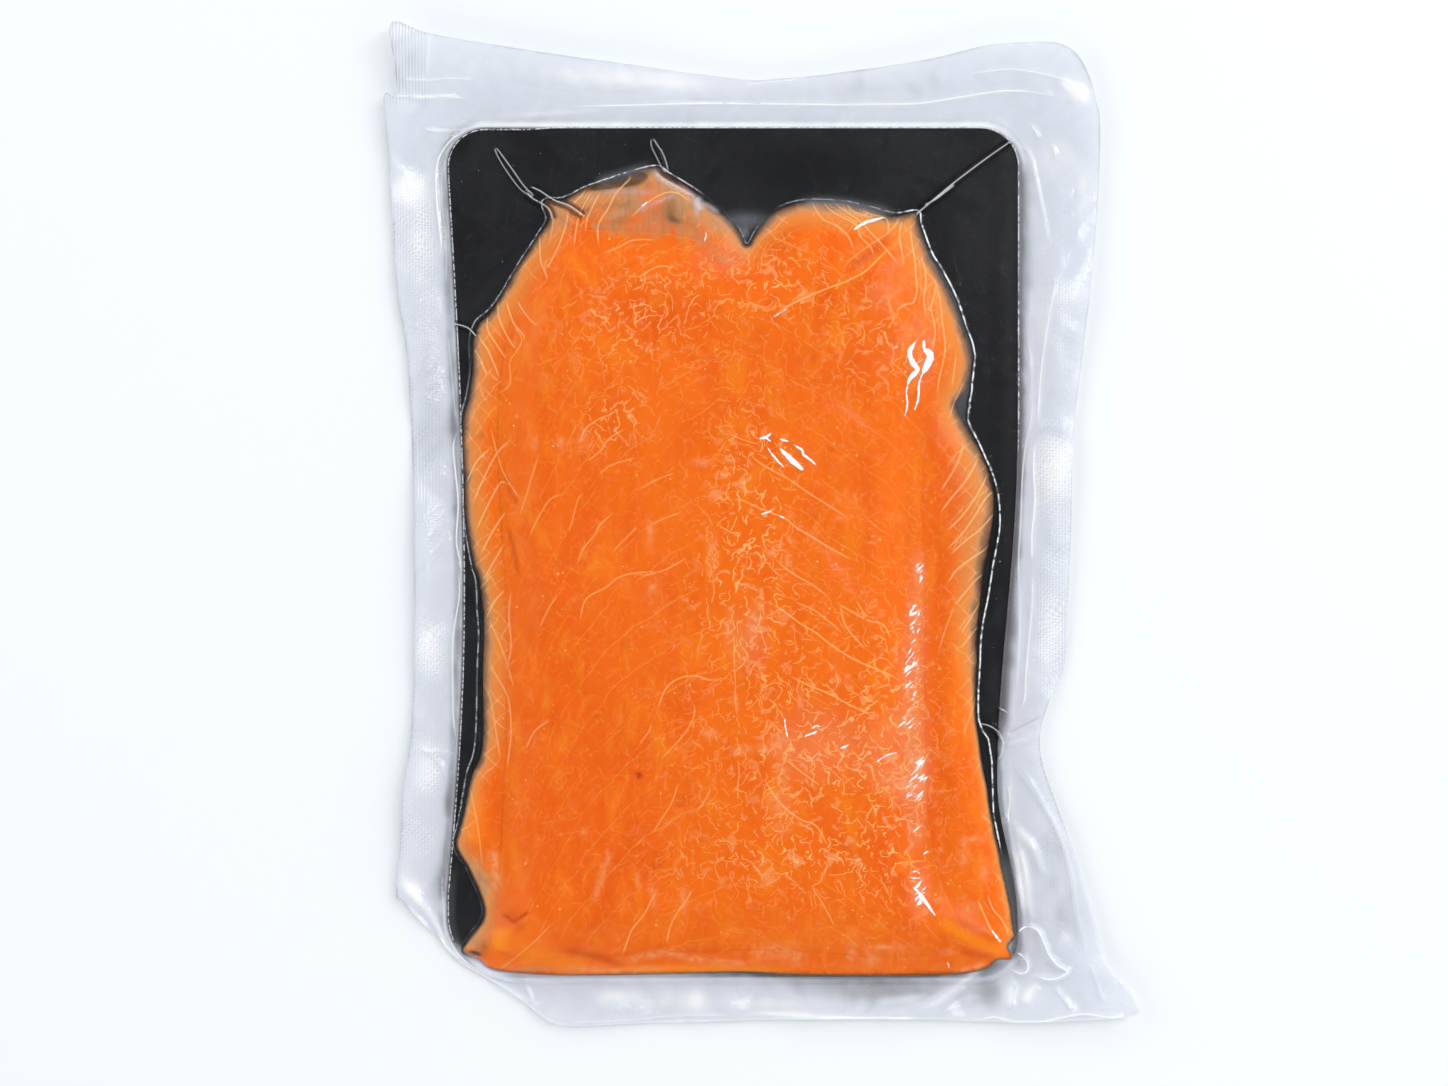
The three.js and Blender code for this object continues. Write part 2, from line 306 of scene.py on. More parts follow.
outlines = {
    "pouch": [
        (-89.2, 138.6), (-79.5, 135.9), (-61, 132.8), (-34.8, 128.9), (-8.5, 125.4), (3.3, 124.1),
        (9.9, 124.1), (30.9, 126.2), (51.9, 129.4), (66.3, 132.8), (78.2, 133.8), (86, 133.3),
        (90.8, 129.9), (93.9, 124.1), (95.2, 119.4), (96.5, 112.3), (96, 92.6), (93.9, 69),
        (91.8, 50.6), (89.7, 32.2), (88.9, 3.3), (88.1, -12.5), (87.3, -29.6), (83.4, -38.7),
        (80.8, -47.9), (81.6, -55.8), (84.7, -65), (90, -79.5), (93.9, -92.6), (97.9, -107),
        (103.1, -113.6), (106.5, -118.9), (106, -121.5), (96.5, -122.3), (86, -122.9),
        (70, -123.3), (50, -122.6), (31, -122.4), (10, -122.8), (-10, -123.4), (-28, -123.9),
        (-40.7, -124.4), (-47.2, -123.6), (-50.8, -121.3), (-58.4, -115.6), (-64.8, -111.9),
        (-72, -107.7), (-74.9, -104.6), (-77.3, -101.2), (-82.5, -96.4), (-86.6, -91.8),
        (-88.4, -89.6), (-87.3, -78.2), (-86.8, -65), (-84.7, -50.6), (-83.9, -38.7),
        (-83.4, -23), (-83.7, -2), (-83.9, 19), (-84.7, 40.1), (-86, 55.8), (-88.1, 67.6),
        (-89.5, 92.6), (-91, 111), (-91.3, 120.2), (-88.1, 119.6), (-88.4, 126.8)],
    "salmon": [
        (-49.5, 92.1), (-44, 93.1), (-37.7, 96.3), (-27.2, 99.7), (-20.1, 101.3), (-16.9, 99.4),
        (-9.6, 94.7), (-2.5, 88.9), (1.4, 85), (3.8, 80.8), (6.4, 84.7), (10.6, 89.4),
        (15.6, 91.6), (20.9, 92.3), (29, 91.8), (35.9, 90.2), (42.7, 88.4), (48.5, 89.4),
        (49, 86.3), (51.4, 78.4), (54, 73.9), (57.7, 66.3), (60.3, 59), (62.1, 54.5),
        (62.7, 50), (61.3, 43.2), (58.8, 39), (60, 35.1), (63.4, 29.8), (67.4, 20.6),
        (68.7, 12.7), (67.4, 3), (66.1, -3.5), (65.3, -9.9), (64.2, -19.6), (64.2, -29.3),
        (64, -42.4), (65.1, -52.1), (66.7, -61.5), (68.7, -72.2), (71.4, -84.9), (73.1, -92.5),
        (73.8, -98), (74.3, -100.6), (73.4, -102.2), (72.4, -103.4), (73.1, -105), (73.4, -106.7),
        (72.2, -107), (69.4, -107.1), (66.6, -109.3), (62.4, -110.4),
        (56.9, -110.9), (43.2, -111.2), (27.5, -111.2), (15.6, -111), (2, -110.4), (-16.9, -110.8),
        (-33.8, -111.1), (-49.5, -111), (-62.7, -109.7), (-67.1, -107), (-71, -104.6),
        (-69, -101), (-65.3, -94.4), (-69, -83.9), (-72.6, -77.1), (-71.1, -70.3),
        (-68.4, -58.7), (-65.8, -50.8), (-65.5, -29.3), (-65.3, -18.3), (-66.6, -7.7),
        (-68.4, -2.2), (-70.2, 9.6), (-70.7, 22.5), (-71.1, 29), (-70.7, 35.6), (-69.2, 41.6),
        (-68.2, 48.7), (-68.2, 55.3), (-66.6, 59.8), (-62.7, 64.5), (-56.1, 75.8),
        (-50.8, 83.7), (-48.5, 87.6)],
    "topSlice": [
        (-47, 88.6), (-41.4, 84.8), (-30, 84.2), (-18, 83.6), (-8.5, 81.6), (-1, 77.6),
        (4, 75.6), (9, 78.6), (15.1, 84.2), (22, 86), (30.9, 85.9), (40, 86), (46.4, 87),
        (47.6, 80), (51.4, 70), (55, 60), (57.4, 52), (54.6, 42), (51.4, 32), (49.4, 19),
        (49.6, 3.3), (50, -23), (50.2, -49.3), (51.2, -70), (54.5, -86), (60.4, -99),
        (61.6, -102.4), (52, -105.4), (36.1, -105.8), (17.7, -104.2), (2, -103.9),
        (-24.3, -105), (-42, -106.2), (-56, -106), (-62.6, -103.4), (-63.4, -97), (-61.1, -86),
        (-60, -65), (-59, -38.7), (-59.2, -12.5), (-60.4, 8), (-61.4, 28), (-60.6, 46),
        (-57.6, 62), (-52.4, 74), (-48.6, 82)],
}
pouchLoop = smoothLine(outlines["pouch"], closed=True)
salmonLoop = smoothLine(outlines["salmon"], closed=True)
upperLoop = smoothLine(outlines["topSlice"], closed=True)

# Where the film comes down on the board: mm round the salmon's outline, and distance from it there.
contactGaps = [
    (0, 0.6), (7, 0.35), (15, 0.2), (28, 0.35), (35, 0.45), (45, 0.7), (53, 0.7), (58, 0.45), (63, 0.3),
    (72, 0.4), (80, 0.5), (92, 0.6), (100, 0.8), (107, 0.9), (114, 0.5), (120, 0.9), (124, 1.1),
    (136, 1.4), (145, 1.3), (157, 0.9), (161, 1.2), (164, 2.2), (166.5, 3.4), (168.5, 3.8), (171, 2.6),
    (173, 1.5), (175.5, 0.8), (184, 0.7), (190, 1), (196, 1.4), (202, 2.2), (215, 2.3), (222, 2),
    (234, 1), (245, 0.6), (253, 0.6), (256, 1.3), (258.5, 2.6), (264.6, 2.6), (270.6, 1.7), (278, 0.6),
    (300, 0.5), (345, 0.3), (400, 0.35), (460, 0.5), (464, 0.7), (470, 0.6), (478, 0.4), (490, 0.5),
    (497, 0.8), (505, 1), (512, 1.4), (520, 2), (528, 1.8), (541, 1.6), (550, 1.4), (559, 1.6),
    (565, 0.9), (572, 0.4), (596, 0.4), (604, 0.5), (611, 0.7), (622, 0.7), (631, 1.1), (635, 1.4),
    (640, 0.7), (645, 0.3), (652, 0.25), (660, 0.3), (668, 0.5)]


def contactRing():
    runs = np.roll(salmonLoop, -1, 0) - salmonLoop
    along = np.concatenate([[0], np.cumsum(np.hypot(*runs.T))[:-1]])
    away = leftOf(np.roll(salmonLoop, -3, 0) - np.roll(salmonLoop, 3, 0))
    return salmonLoop + away * np.interp(along, *zip(*contactGaps))[:, None]


contactLoop = contactRing()

# The front film's lower edge: just outside the board, or partway to the pouch's edge where that is near.
outwardFilm = {"gap": 2.2, "share": 0.45, "evenOver": 6}
outward = -leftOf(np.roll(boardLoop, -3, 0) - np.roll(boardLoop, 3, 0))


def clingRing():
    room = np.abs(depthIn(boardLoop, pouchLoop, 12))
    away = np.minimum(outwardFilm["gap"], outwardFilm["share"] * room)
    side = outwardFilm["evenOver"]
    window = np.full(2 * side + 1, 1 / (2 * side + 1))
    return boardLoop + outward * np.convolve(np.pad(away, side, mode="wrap"), window, "valid")[:, None]


clingLoop = clingRing()


# A plan of triangles inside an outline: even points, and finer ones beside the lines that need them.
def planOf(outline, step, fineLines=(), fineStep=0.32, fineReach=1.0, keepIn=None, rings=()):
    low, high = outline.min(0), outline.max(0)
    coarse = []
    for row, y in enumerate(np.arange(low[1], high[1], step * 0.866)):
        across = np.arange(low[0] + row % 2 * step / 2, high[0], step)
        coarse.append(np.stack([across, np.full(len(across), y)], 1))
    coarse = np.vstack(coarse)
    fine = np.zeros((0, 2))
    if len(fineLines):
        ribbons = []
        for line, closed in fineLines:
            dense = smoothLine(line, closed, step=fineStep)
            run = np.roll(dense, -1, 0) - np.roll(dense, 1, 0)
            if not closed:
                run[0], run[-1] = dense[1] - dense[0], dense[-1] - dense[-2]
            side = leftOf(run)
            for offset in np.arange(-fineReach, fineReach + 0.01, fineStep):
                ribbons.append(dense + side * offset)
        fine = np.vstack(ribbons)
        _, first = np.unique(np.round(fine / (fineStep * 0.7)).astype(int), axis=0, return_index=True)
        fine = fine[first]
        cell = fineStep * 1.5
        taken = {tuple(c) for c in np.round(fine / cell).astype(int)}
        keep = np.array([tuple(c) not in taken for c in np.round(coarse / cell).astype(int)])
        coarse = coarse[keep]
    points = np.vstack([coarse, fine])
    depth = depthIn(points, outline, 2)
    keep = depth > 0.35 * fineStep if len(fineLines) else depth > 0.4 * step
    if keepIn is not None:
        keep &= keepIn(points)
    points = points[keep]
    for ring in rings:
        away, _ = nearLine(points, ring, 1, closed=True)
        points = points[away > 0.12]
    loops, edges, start = [outline, *rings], [], 0
    for loop in loops:
        edges += [(start + i, start + (i + 1) % len(loop)) for i in range(len(loop))]
        start += len(loop)
    plan = np.vstack([*loops, points])
    made = delaunay_2d_cdt([Vector(p) for p in plan.tolist()], edges, [], 1, 1e-5)
    xy = np.array([tuple(v) for v in made[0]])
    faces = np.array([f for f in made[2] if len(f) == 3])
    a, b, c = (xy[faces[:, k]] for k in range(3))
    turned = ((b - a)[:, 0] * (c - a)[:, 1] - (b - a)[:, 1] * (c - a)[:, 0]) < 0
    faces[turned] = faces[turned][:, ::-1]
    return xy, faces


def meshPiece(name, points, faces, values):
    mesh = bpy.data.meshes.new(name)
    mesh.from_pydata((np.asarray(points) * 0.001).tolist(), [], np.asarray(faces).tolist())
    for label, value in values.items():
        made = mesh.attributes.new(label, "FLOAT", "POINT")
        made.data.foreach_set("value", np.asarray(value, np.float32))
    mesh.update()
    mesh.shade_smooth()
    piece = bpy.data.objects.new(name, mesh)
    scene.collection.objects.link(piece)
    return piece


# Closes a finely divided top with a plain bottom that shares the outline.
def closedPiece(name, outline, top, bottom, topHeight, bottomHeight, values):
    (topXy, topFaces), (lowXy, lowFaces) = top, bottom
    shift = len(topXy)
    rim = np.arange(len(outline))
    wall = wallBetween(rim, rim + shift)
    if turningOf(outline) < 0:
        wall = wall[:, ::-1]
    points = np.vstack([np.column_stack([topXy, topHeight(topXy)]),
                        np.column_stack([lowXy, bottomHeight(lowXy)])])
    faces = np.vstack([topFaces, lowFaces[:, ::-1] + shift, wall])
    both = {label: np.concatenate([value(topXy), value(lowXy)]) for label, value in values.items()}
    return meshPiece(name, points, faces, both)


# Triangles between two rings of points, the upper one first, that run anticlockwise.
def wallBetween(upper, lower):
    upperNext, lowerNext = np.roll(upper, -1), np.roll(lower, -1)
    return np.vstack([np.stack([upper, lower, lowerNext], 1), np.stack([upper, lowerNext, upperNext], 1)])


# The forms of the salmon and of the film over it.
slices = {
    "base": 1.9, "lowerDepth": 4.2, "lowerRim": 0.45, "lowerSlope": 10, "lowerLumps": 0.112,
    "gap": 0.08, "upperDepth": 3.95, "upperRim": 0.08, "upperSlope": 14, "roundShare": 0.25,
    "swell": 0.34, "swellLength": 75, "lumps": 0.16, "lumpSize": 17,
    "ripple": 0.035, "rippleSize": 5.5,
}

# Ridges (+) and grooves (-) pressed into the flesh: height, half width and line.
fleshFolds = withLines([
    (1.15, 3.4, [(50, -92), (59.8, -98.6), (66.3, -102), (73.2, -105.2)]),
    (0.5, 1.5, [(45.3, 86.8), (36.1, 79.5), (26.9, 72.1), (17.7, 65.8), (9.9, 60.6)]),
    (-0.35, 1.2, [(47.5, 85), (38.5, 77), (29, 69.8), (20, 63.4)]),
    (0.34, 1.3, [(47.4, 30), (47.6, 19), (47.6, -2), (47.3, -23), (48, -44), (48.4, -65), (49.4, -86)]),
    (-0.5, 2.2, [(52.3, 13.8), (53.5, -2), (54, -23), (54, -44), (54.5, -65), (55.6, -83.4)]),
    (0.42, 1.0, [(49, 58), (47, 52.7), (45.9, 49.4), (47.4, 46.6), (46.2, 43.2), (45.1, 39.5)]),
    (0.36, 0.9, [(51.2, 57), (52.3, 51.6), (51.6, 47), (49.3, 43), (47.8, 38)]),
    (0.26, 0.7, [(5.6, 31.2), (9.3, 30.9), (13, 29.8), (16.6, 28.3), (19, 25.6), (21.6, 22.4)]),
    (0.2, 0.55, [(12, 27.9), (15.1, 24.8), (18.6, 21)]),
    (0.16, 0.5, [(8, 28.2), (10.4, 24.8), (13.2, 21.9)]),
    (0.34, 0.8, [(30.6, 82.9), (35.1, 85.2), (40, 86.9)]),
    (0.3, 0.8, [(-36.6, 86.4), (-31.7, 87.2), (-24.3, 91), (-18, 93)]),
    (-0.25, 0.8, [(-61.1, -93.9), (-58.5, -95.8), (-56.6, -96), (-54, -95), (-51.9, -93.4)]),
    (0.2, 0.5, [(63.2, -90.3), (65.3, -95.2), (67.4, -101.3)]),
    (0.2, 0.5, [(65.8, -88.6), (68.7, -92.6), (71.3, -96.8)]),
    (0.18, 0.7, [(41, -38), (44.4, -41), (46.5, -45)]),
    (0.18, 0.8, [(36, -52), (41, -49.6), (46, -51.5)]),
    (0.16, 0.8, [(30, -61), (36, -57.8), (43, -57.6), (47, -60)]),
])


# The height of folds at each point; a bell ends at its reach, so what is left of it there is taken off.
def foldsAt(xy, folds, reach=2.6):
    total, rest = np.zeros(len(xy)), bell(reach, 1)
    for height, width, line in folds:
        away, along = nearLine(xy, line, width * reach)
        total += height * (bell(away, width) - rest) * fadeEnds(along, 0.18)
    return total


def crowned(value, run):
    return 1 - (1 - np.clip(value / run, 0, 1)) ** 2


def lowerTop(xy):
    s = slices
    crown = crowned(depthIn(xy, salmonLoop, s["lowerSlope"]), s["lowerSlope"])
    lumps = s["lowerLumps"] * softNoise(xy, s["lumpSize"], 4) * crown
    return s["base"] + s["lowerRim"] + (s["lowerDepth"] - s["lowerRim"]) * crown + lumps


def wave(value, length):
    return np.sin(2 * np.pi * value / length)


def upperRise(xy, depth):
    s = slices
    x, y = xy.T
    crown = s["roundShare"] * crowned(depth, s["upperSlope"])
    crown += (1 - s["roundShare"]) * smooth(depth, 0, s["upperSlope"])
    swell = s["swell"] * (wave(x, s["swellLength"]) + wave(y - np.abs(x), s["swellLength"])) * crown
    lumps = s["lumps"] * softNoise(xy, s["lumpSize"], 2) * crown
    ripple = s["ripple"] * softNoise(xy, s["rippleSize"], 7) * smooth(depth, 0, 4)
    return s["upperRim"] + (s["upperDepth"] - s["upperRim"]) * crown + swell + lumps + ripple


# The flesh as the film finds it, with the folds that run over both slices.
def upperTop(xy):
    depth = depthIn(xy, upperLoop, slices["upperSlope"])
    return lowerTop(xy) + slices["gap"] + upperRise(xy, depth) + foldsAt(xy, fleshFolds)


# The lower slices follow the same folds, but under the upper one they only give way to them.
def lowerFlesh(xy):
    folds = foldsAt(xy, fleshFolds)
    hidden = depthIn(xy, upperLoop, 2) > 1
    return lowerTop(xy) + np.where(hidden, np.minimum(folds, 0), folds)


filmForm = {
    "over": 0.14, "ledgeRun": 1.9, "onBoard": 1.82, "atRim": 0.5, "bead": 0.13, "beadWidth": 0.3,
    "beadCounts": (900, 211), "wrinkle": 0.02, "wrinkleSize": 4.2, "clingFrom": (0.06, 0.98),
}

# Folds that stand in the film over the board: height, half width at the middle, line, pointed ends.
filmFolds = withLines([
    (0.95, 0.75, [(-62.5, 106.5), (-60.6, 103.4), (-58.5, 100.3), (-55.1, 95.7), (-52.1, 93.5)]),
    (0.9, 0.6, [(-53.2, 96.2), (-50.5, 94.9), (-46.5, 92.3), (-42.8, 90.8), (-38.5, 87.7)]),
    (0.7, 0.5, [(-54.2, 94.6), (-52.4, 92.9), (-50.2, 91.7), (-48, 89.8), (-47.2, 87.1)]),
    (0.95, 0.95, [(-21.2, 108.8), (-20.4, 106.6), (-19.1, 104.3), (-17.2, 99.7)]),
    (0.8, 0.6, [(74.8, 109.2), (67.6, 104.2), (59.8, 98.4), (54, 93.7), (47.5, 88.2)]),
    (0.5, 0.5, [(-73.6, 60.2), (-69.5, 59), (-67.2, 56.6)]),
    (0.7, 0.5, [(64.6, -44.9), (67.6, -45.6), (70.5, -47.9), (71.1, -51.4), (69.8, -54.9)]),
    (0.6, 0.5, [(69.5, -40.5), (72.6, -42.5), (74.4, -46), (72.4, -50.4), (69.2, -47)]),
    (0.4, 0.5, [(50.4, 91.2), (53.4, 92.8), (58.4, 96.6)]),
])


def filmHeight(xy):
    f, s = filmForm, slices
    inSalmon = depthIn(xy, salmonLoop, 14)
    inUpper = depthIn(xy, upperLoop, s["upperSlope"])
    inContact = depthIn(xy, contactLoop, 6)
    inBoard = depthIn(xy, boardLoop, 6)
    step = s["gap"] + s["upperRim"]
    rise = np.where(inUpper > 0, s["gap"] + upperRise(xy, inUpper),
                    step * smooth(inUpper, -f["ledgeRun"], 0.1))
    flesh = lowerTop(xy) + rise + foldsAt(xy, fleshFolds) + f["over"]
    edge = s["base"] + s["lowerRim"] + f["over"]
    share = np.where(inContact > 0, -inSalmon / np.maximum(-inSalmon + inContact, 1e-3), 1)
    outside = f["onBoard"] + (edge - f["onBoard"]) * (1 - smooth(share, 0, 1))
    height = np.where(inSalmon > 0, np.maximum(flesh, edge), outside)
    _, along = nearLine(xy, contactLoop, 3, closed=True)
    often, seldom = f["beadCounts"]
    beading = 0.75 + 0.25 * np.sin(along * often) * np.sin(along * seldom)
    height += f["bead"] * beading * bell(inContact, f["beadWidth"])
    height += foldsAt(xy, filmFolds)
    wrinkles = f["wrinkle"] * softNoise(xy, f["wrinkleSize"], 9)
    height += wrinkles * smooth(-inSalmon, 0, 2) * smooth(inBoard, 0, 3)
    inCling = depthIn(xy, clingLoop, 6)
    down = np.where(inBoard > 0, 1, inCling / np.maximum(inCling - inBoard, 1e-3))
    return f["atRim"] + (height - f["atRim"]) * smooth(down, *f["clingFrom"])


marginForm = {
    "start": 0.5, "rest": 0.5, "wave": 0.85, "waveLength": 100, "run": 9, "lowest": 0.16,
    "flapFrom": 119.4, "flapTilt": 0.22, "curlHeight": 2.1, "corner": (106, 139), "curlFrom": (1, 1.45),
    # height, size and seed of the buckles
    "buckles": [(0.34, 24, 21), (0.1, 9, 22)],
}

# Creases, seams and rolls of the welded margin: height, half width, how white (+, partly the film's own
# whitening and partly a painted highlight) or grey (-, painted shade), line.
marginFolds = withLines([
    (0.35, 0.5, 0.7, [(-91.3, 119.7), (-84.7, 119.7), (-76.8, 119.7), (-69, 119.4)]),
    (0.35, 0.6, 0.9, [(-85.2, 119.7), (-80.8, 119.4), (-72.1, 120.2)]),
    (0.3, 0.4, 0.6, [(-87.6, 124.1), (-79.5, 123.9), (-74.2, 124.4), (-66.9, 124.1)]),
    (0.4, 0.5, 0.5, [(-79.7, 136.5), (-79.7, 132), (-80, 124.7)]),
    (0.3, 0.5, 0.35, [(-88.7, 124.1), (-88.4, 117.6)]),
    (-0.4, 0.7, 0.3, [(-62.4, 123.6), (-53.2, 122.5), (-41.4, 121.2), (-24.3, 119.9), (-8.5, 118.9),
         (7.2, 118.1)]),
    (-0.3, 0.6, 0.25, [(-55.8, 123.1), (-45.3, 121.5), (-29.6, 120.7), (-13.8, 120.2)]),
    (0.5, 0.6, 0.85, [(-50.6, 117), (-40.1, 117.3), (-24.3, 117.6), (-3.3, 118.1), (17.7, 117.8),
         (38.7, 117.8), (49.3, 118.1), (59.8, 119.7), (70.3, 121.2), (78.2, 121), (86, 119.4),
         (92.6, 117.8)]),
    (0.4, 0.5, 0.5, [(2, 122.5), (6.4, 123.1), (11.2, 123.6), (17.7, 124.1)]),
    (0.35, 0.55, 0.6, [(59.8, 125.2), (66.3, 126.2), (72.9, 126.8), (80.8, 125.7), (86.6, 124.1),
         (94.4, 121)]),
    (0.6, 1.6, 0.7, [(85, 124.1), (90, 121.5), (93.4, 118.6)]),
    (0.4, 0.9, 0.35, [(-79.5, 111), (-69, 113.1), (-50.6, 115.2), (-29.6, 116.8)]),
    (0.3, 0.45, 0.5, [(-66.9, 112), (-76.8, 110.7), (-82.1, 111.5)]),
    (0.4, 0.5, 0.85, [(-67.9, 111.5), (-72.9, 109.4), (-76.6, 105.2), (-77.9, 100.5), (-77.9, 95.2),
         (-77.4, 88.7), (-76.6, 80.8), (-77.4, 76.3)]),
    (0.35, 0.45, 0.5, [(-75.8, 103.1), (-76.6, 96.5), (-76.1, 88.7), (-75.3, 82.1), (-75.3, 69)]),
    (0.45, 0.55, 0.85, [(-71.6, 33.8), (-73.4, 28.2), (-72.9, 21.4), (-72.1, 13), (-72.6, 3),
         (-71.3, -3.5), (-70.5, -10.4)]),
    (0.35, 0.45, 0.5, [(-75, 58.5), (-73.7, 45.3), (-72.6, 33.5)]),
    (0.4, 0.55, 0.75, [(-72.3, -2), (-71.8, -10.8), (-73.2, -19.7), (-73.6, -25.9), (-73.6, -35.2),
         (-73.4, -43.3), (-72.3, -52.1)]),
    (0.4, 0.9, 0.3, [(-84.2, -52.4), (-79.5, -51.9), (-72.6, -53.2)]),
    (0.4, 0.7, 0.4, [(-83.9, -50.6), (-80, -52.4), (-76.6, -56.1), (-74.5, -60.3)]),
    (0.4, 0.6, 0.6, [(-70.8, -61.3), (-72.4, -68.2), (-73.2, -75.5), (-74.2, -83.4), (-74.2, -92.6),
         (-72.9, -99.7), (-70.8, -104.4)]),
    (0.35, 0.5, 0.35, [(-75, -65), (-76.1, -75.5), (-76.6, -86), (-75.8, -96.5)]),
    (0.8, 1.1, 0.8, [(-87.6, -86), (-83.9, -90), (-80, -94.4), (-76.8, -99.7), (-73.7, -105.2)]),
    (0.5, 0.5, 0.7, [(-87.6, -90.5), (-80.8, -97.9), (-74.2, -104.9), (-69.5, -108.9),
         (-64.5, -112.8), (-57.1, -117.6), (-49.3, -122.3)]),
    (0.5, 0.5, 0.5, [(-71.8, -104.9), (-66.9, -109.9), (-60.3, -114.1), (-54, -117.6)]),
    (0.4, 0.45, 0.45, [(-63.4, -110.2), (-54.2, -111.3), (-54.2, -114.1), (-50.8, -121.2)]),
    (0.4, 0.6, 0.4, [(-64.2, -109.7), (-61.9, -113.1), (-56.3, -117), (-49.3, -119.1)]),
    (0.35, 0.5, 0.5, [(-46.6, -123.1), (-38.7, -123.3), (-26.7, -122.8), (-16.4, -121.8),
         (-6.4, -121.5), (1.4, -122)]),
    (0.45, 0.9, 0.85, [(-2, -122), (6.2, -121.2), (18.3, -121.5), (31.1, -122.3), (42.7, -122.5),
         (50.6, -122.3)]),
    (0.4, 0.5, 0.8, [(59.8, -121.8), (65, -122.5), (69, -122), (74.7, -123.3), (81, -123.1),
         (85.5, -122), (92.3, -121), (99.2, -121.8), (105.5, -121.5)]),
    (1, 1.5, 0.8, [(45.3, -120.2), (52.4, -118.3), (57.1, -115.5), (61.9, -111.8), (67.6, -107.8)]),
    (0.6, 1.2, 0.4, [(36.1, -118.3), (44, -117.6), (51.9, -116.5)]),
    (0.4, 0.5, 0.6, [(73.4, 109.2), (78.2, 104.7), (79.7, 98.9), (81, 92.6), (82.4, 86), (83.1, 79.5)]),
    (0.4, 0.6, 0.75, [(78.4, 112.8), (79.7, 110.7), (81, 108.6)]),
    (0.4, 0.6, 0.7, [(83.7, 107.6), (84.5, 105.7), (85, 103.6)]),
    (0.4, 0.5, 0.75, [(84.7, 75.3), (84.7, 70.5), (83.4, 63.2), (82.1, 55), (81, 46.1), (80.5, 38.7),
         (79.7, 31.1)]),
    (0.3, 0.5, -0.3, [(76.1, 69), (77.1, 57.4), (78.4, 45.3), (76.6, 34.8)]),
    (0.45, 0.7, 0.9, [(79.7, 31.1), (79.2, 23.2), (79.5, 13.5), (78.7, 3.8), (78.9, -4.6)]),
    (0.4, 0.45, 0.75, [(78.9, -3.3), (78.7, -14.3), (77.9, -23.2), (77.1, -32.4), (76.8, -38.5),
         (74.7, -44)]),
    (0.35, 0.5, 0.6, [(79.1, 46.2), (78.6, 36), (76.6, 24), (75.8, 8), (75.3, -2), (75.5, -13.3),
         (75.4, -24.6), (74.6, -35.9), (73.9, -42.7)]),
    (0.2, 0.5, -0.4, [(75.8, 20), (75, 4), (74.6, -12), (74.5, -24), (73.8, -34)]),
    (0.2, 0.5, -0.35, [(-71.4, -6.8), (-71.2, -10.5), (-72, -13), (-72.3, -19.7), (-72.7, -25.9),
         (-72.9, -31.5), (-72.3, -40.7), (-72, -51.4)]),
    (0.2, 0.5, -0.3, [(-74.2, -19.7), (-74.3, -27.8), (-74.2, -37), (-74, -51.4)]),
    (0.7, 1.4, -0.25, [(88.1, 32.2), (83.4, 32.7), (79.7, 32.2)]),
    (0.6, 0.8, 0.35, [(71.6, -51.4), (75, -50), (79.5, -48.2), (82.6, -45.3)]),
    (-0.5, 0.7, -0.4, [(71.1, -47.9), (75.5, -46.1), (81.3, -43)]),
    (0.5, 0.6, -0.35, [(73.2, -54.5), (76.3, -59.2), (79.7, -64), (84.5, -72.6), (87.9, -83.4),
         (89.4, -93.1), (91.3, -104.4)]),
    (0.4, 0.5, 0.35, [(74, -54), (77.4, -58.7), (80.8, -64), (85.5, -72.6), (88.9, -83.4),
         (90.5, -93.1), (92.9, -106.5)]),
    (0.3, 0.5, -0.25, [(93.9, -108.4), (95.5, -113.6), (97.1, -118.6)]),
    (0.45, 0.5, 0.8, [(72.4, -60.3), (72.9, -64.2), (72.9, -66.6), (72.6, -69), (72.9, -71.8)]),
    (0.9, 1.2, 0.6, [(73.2, -72.6), (75.8, -73.7), (78.7, -77.4), (80.5, -81.3), (81.8, -86)]),
    (1.4, 1.3, 0.85, [(73.7, -76.1), (75.8, -82.4), (76.3, -88.1), (77.1, -93.1), (77.9, -98.1)]),
    (1.4, 0.6, 0.95, [(72.4, -103.4), (74, -101), (76.1, -98.9), (78.2, -98.4), (80.3, -99.4),
         (81.8, -102.6), (83.4, -106), (85.5, -108.4), (87.9, -109.9), (86, -111.3), (83.4, -112),
         (80.3, -111.5), (77.6, -111)]),
    (1, 0.5, 0.85, [(74.2, -104.7), (76.1, -106), (77.6, -107.8), (77.6, -109.7), (75.8, -110.7),
         (72.4, -109.2)]),
    (0.9, 1.3, 0.5, [(72.4, -120.2), (72.9, -114.9), (74.5, -112.3)]),
    (0.6, 1, 0.5, [(76.6, -119.1), (78.2, -115.5), (80.8, -113.4)]),
    (0.4, 0.6, 0.3, [(83.9, -113.6), (87.3, -117.6), (89.2, -120.7)]),
    (0.3, 0.5, 0.6, [(-63.4, -109.9), (-54, -111.3), (-47, -111.8)]),
    (0.3, 0.5, 0.45, [(-61, -112.4), (-54, -113.2), (-47, -113.2), (-40, -112.4)]),
    (0.3, 0.5, 0.6, [(-76.4, -83), (-75.9, -94), (-75.1, -101.6), (-72.6, -105.4), (-67, -109.6)]),
])
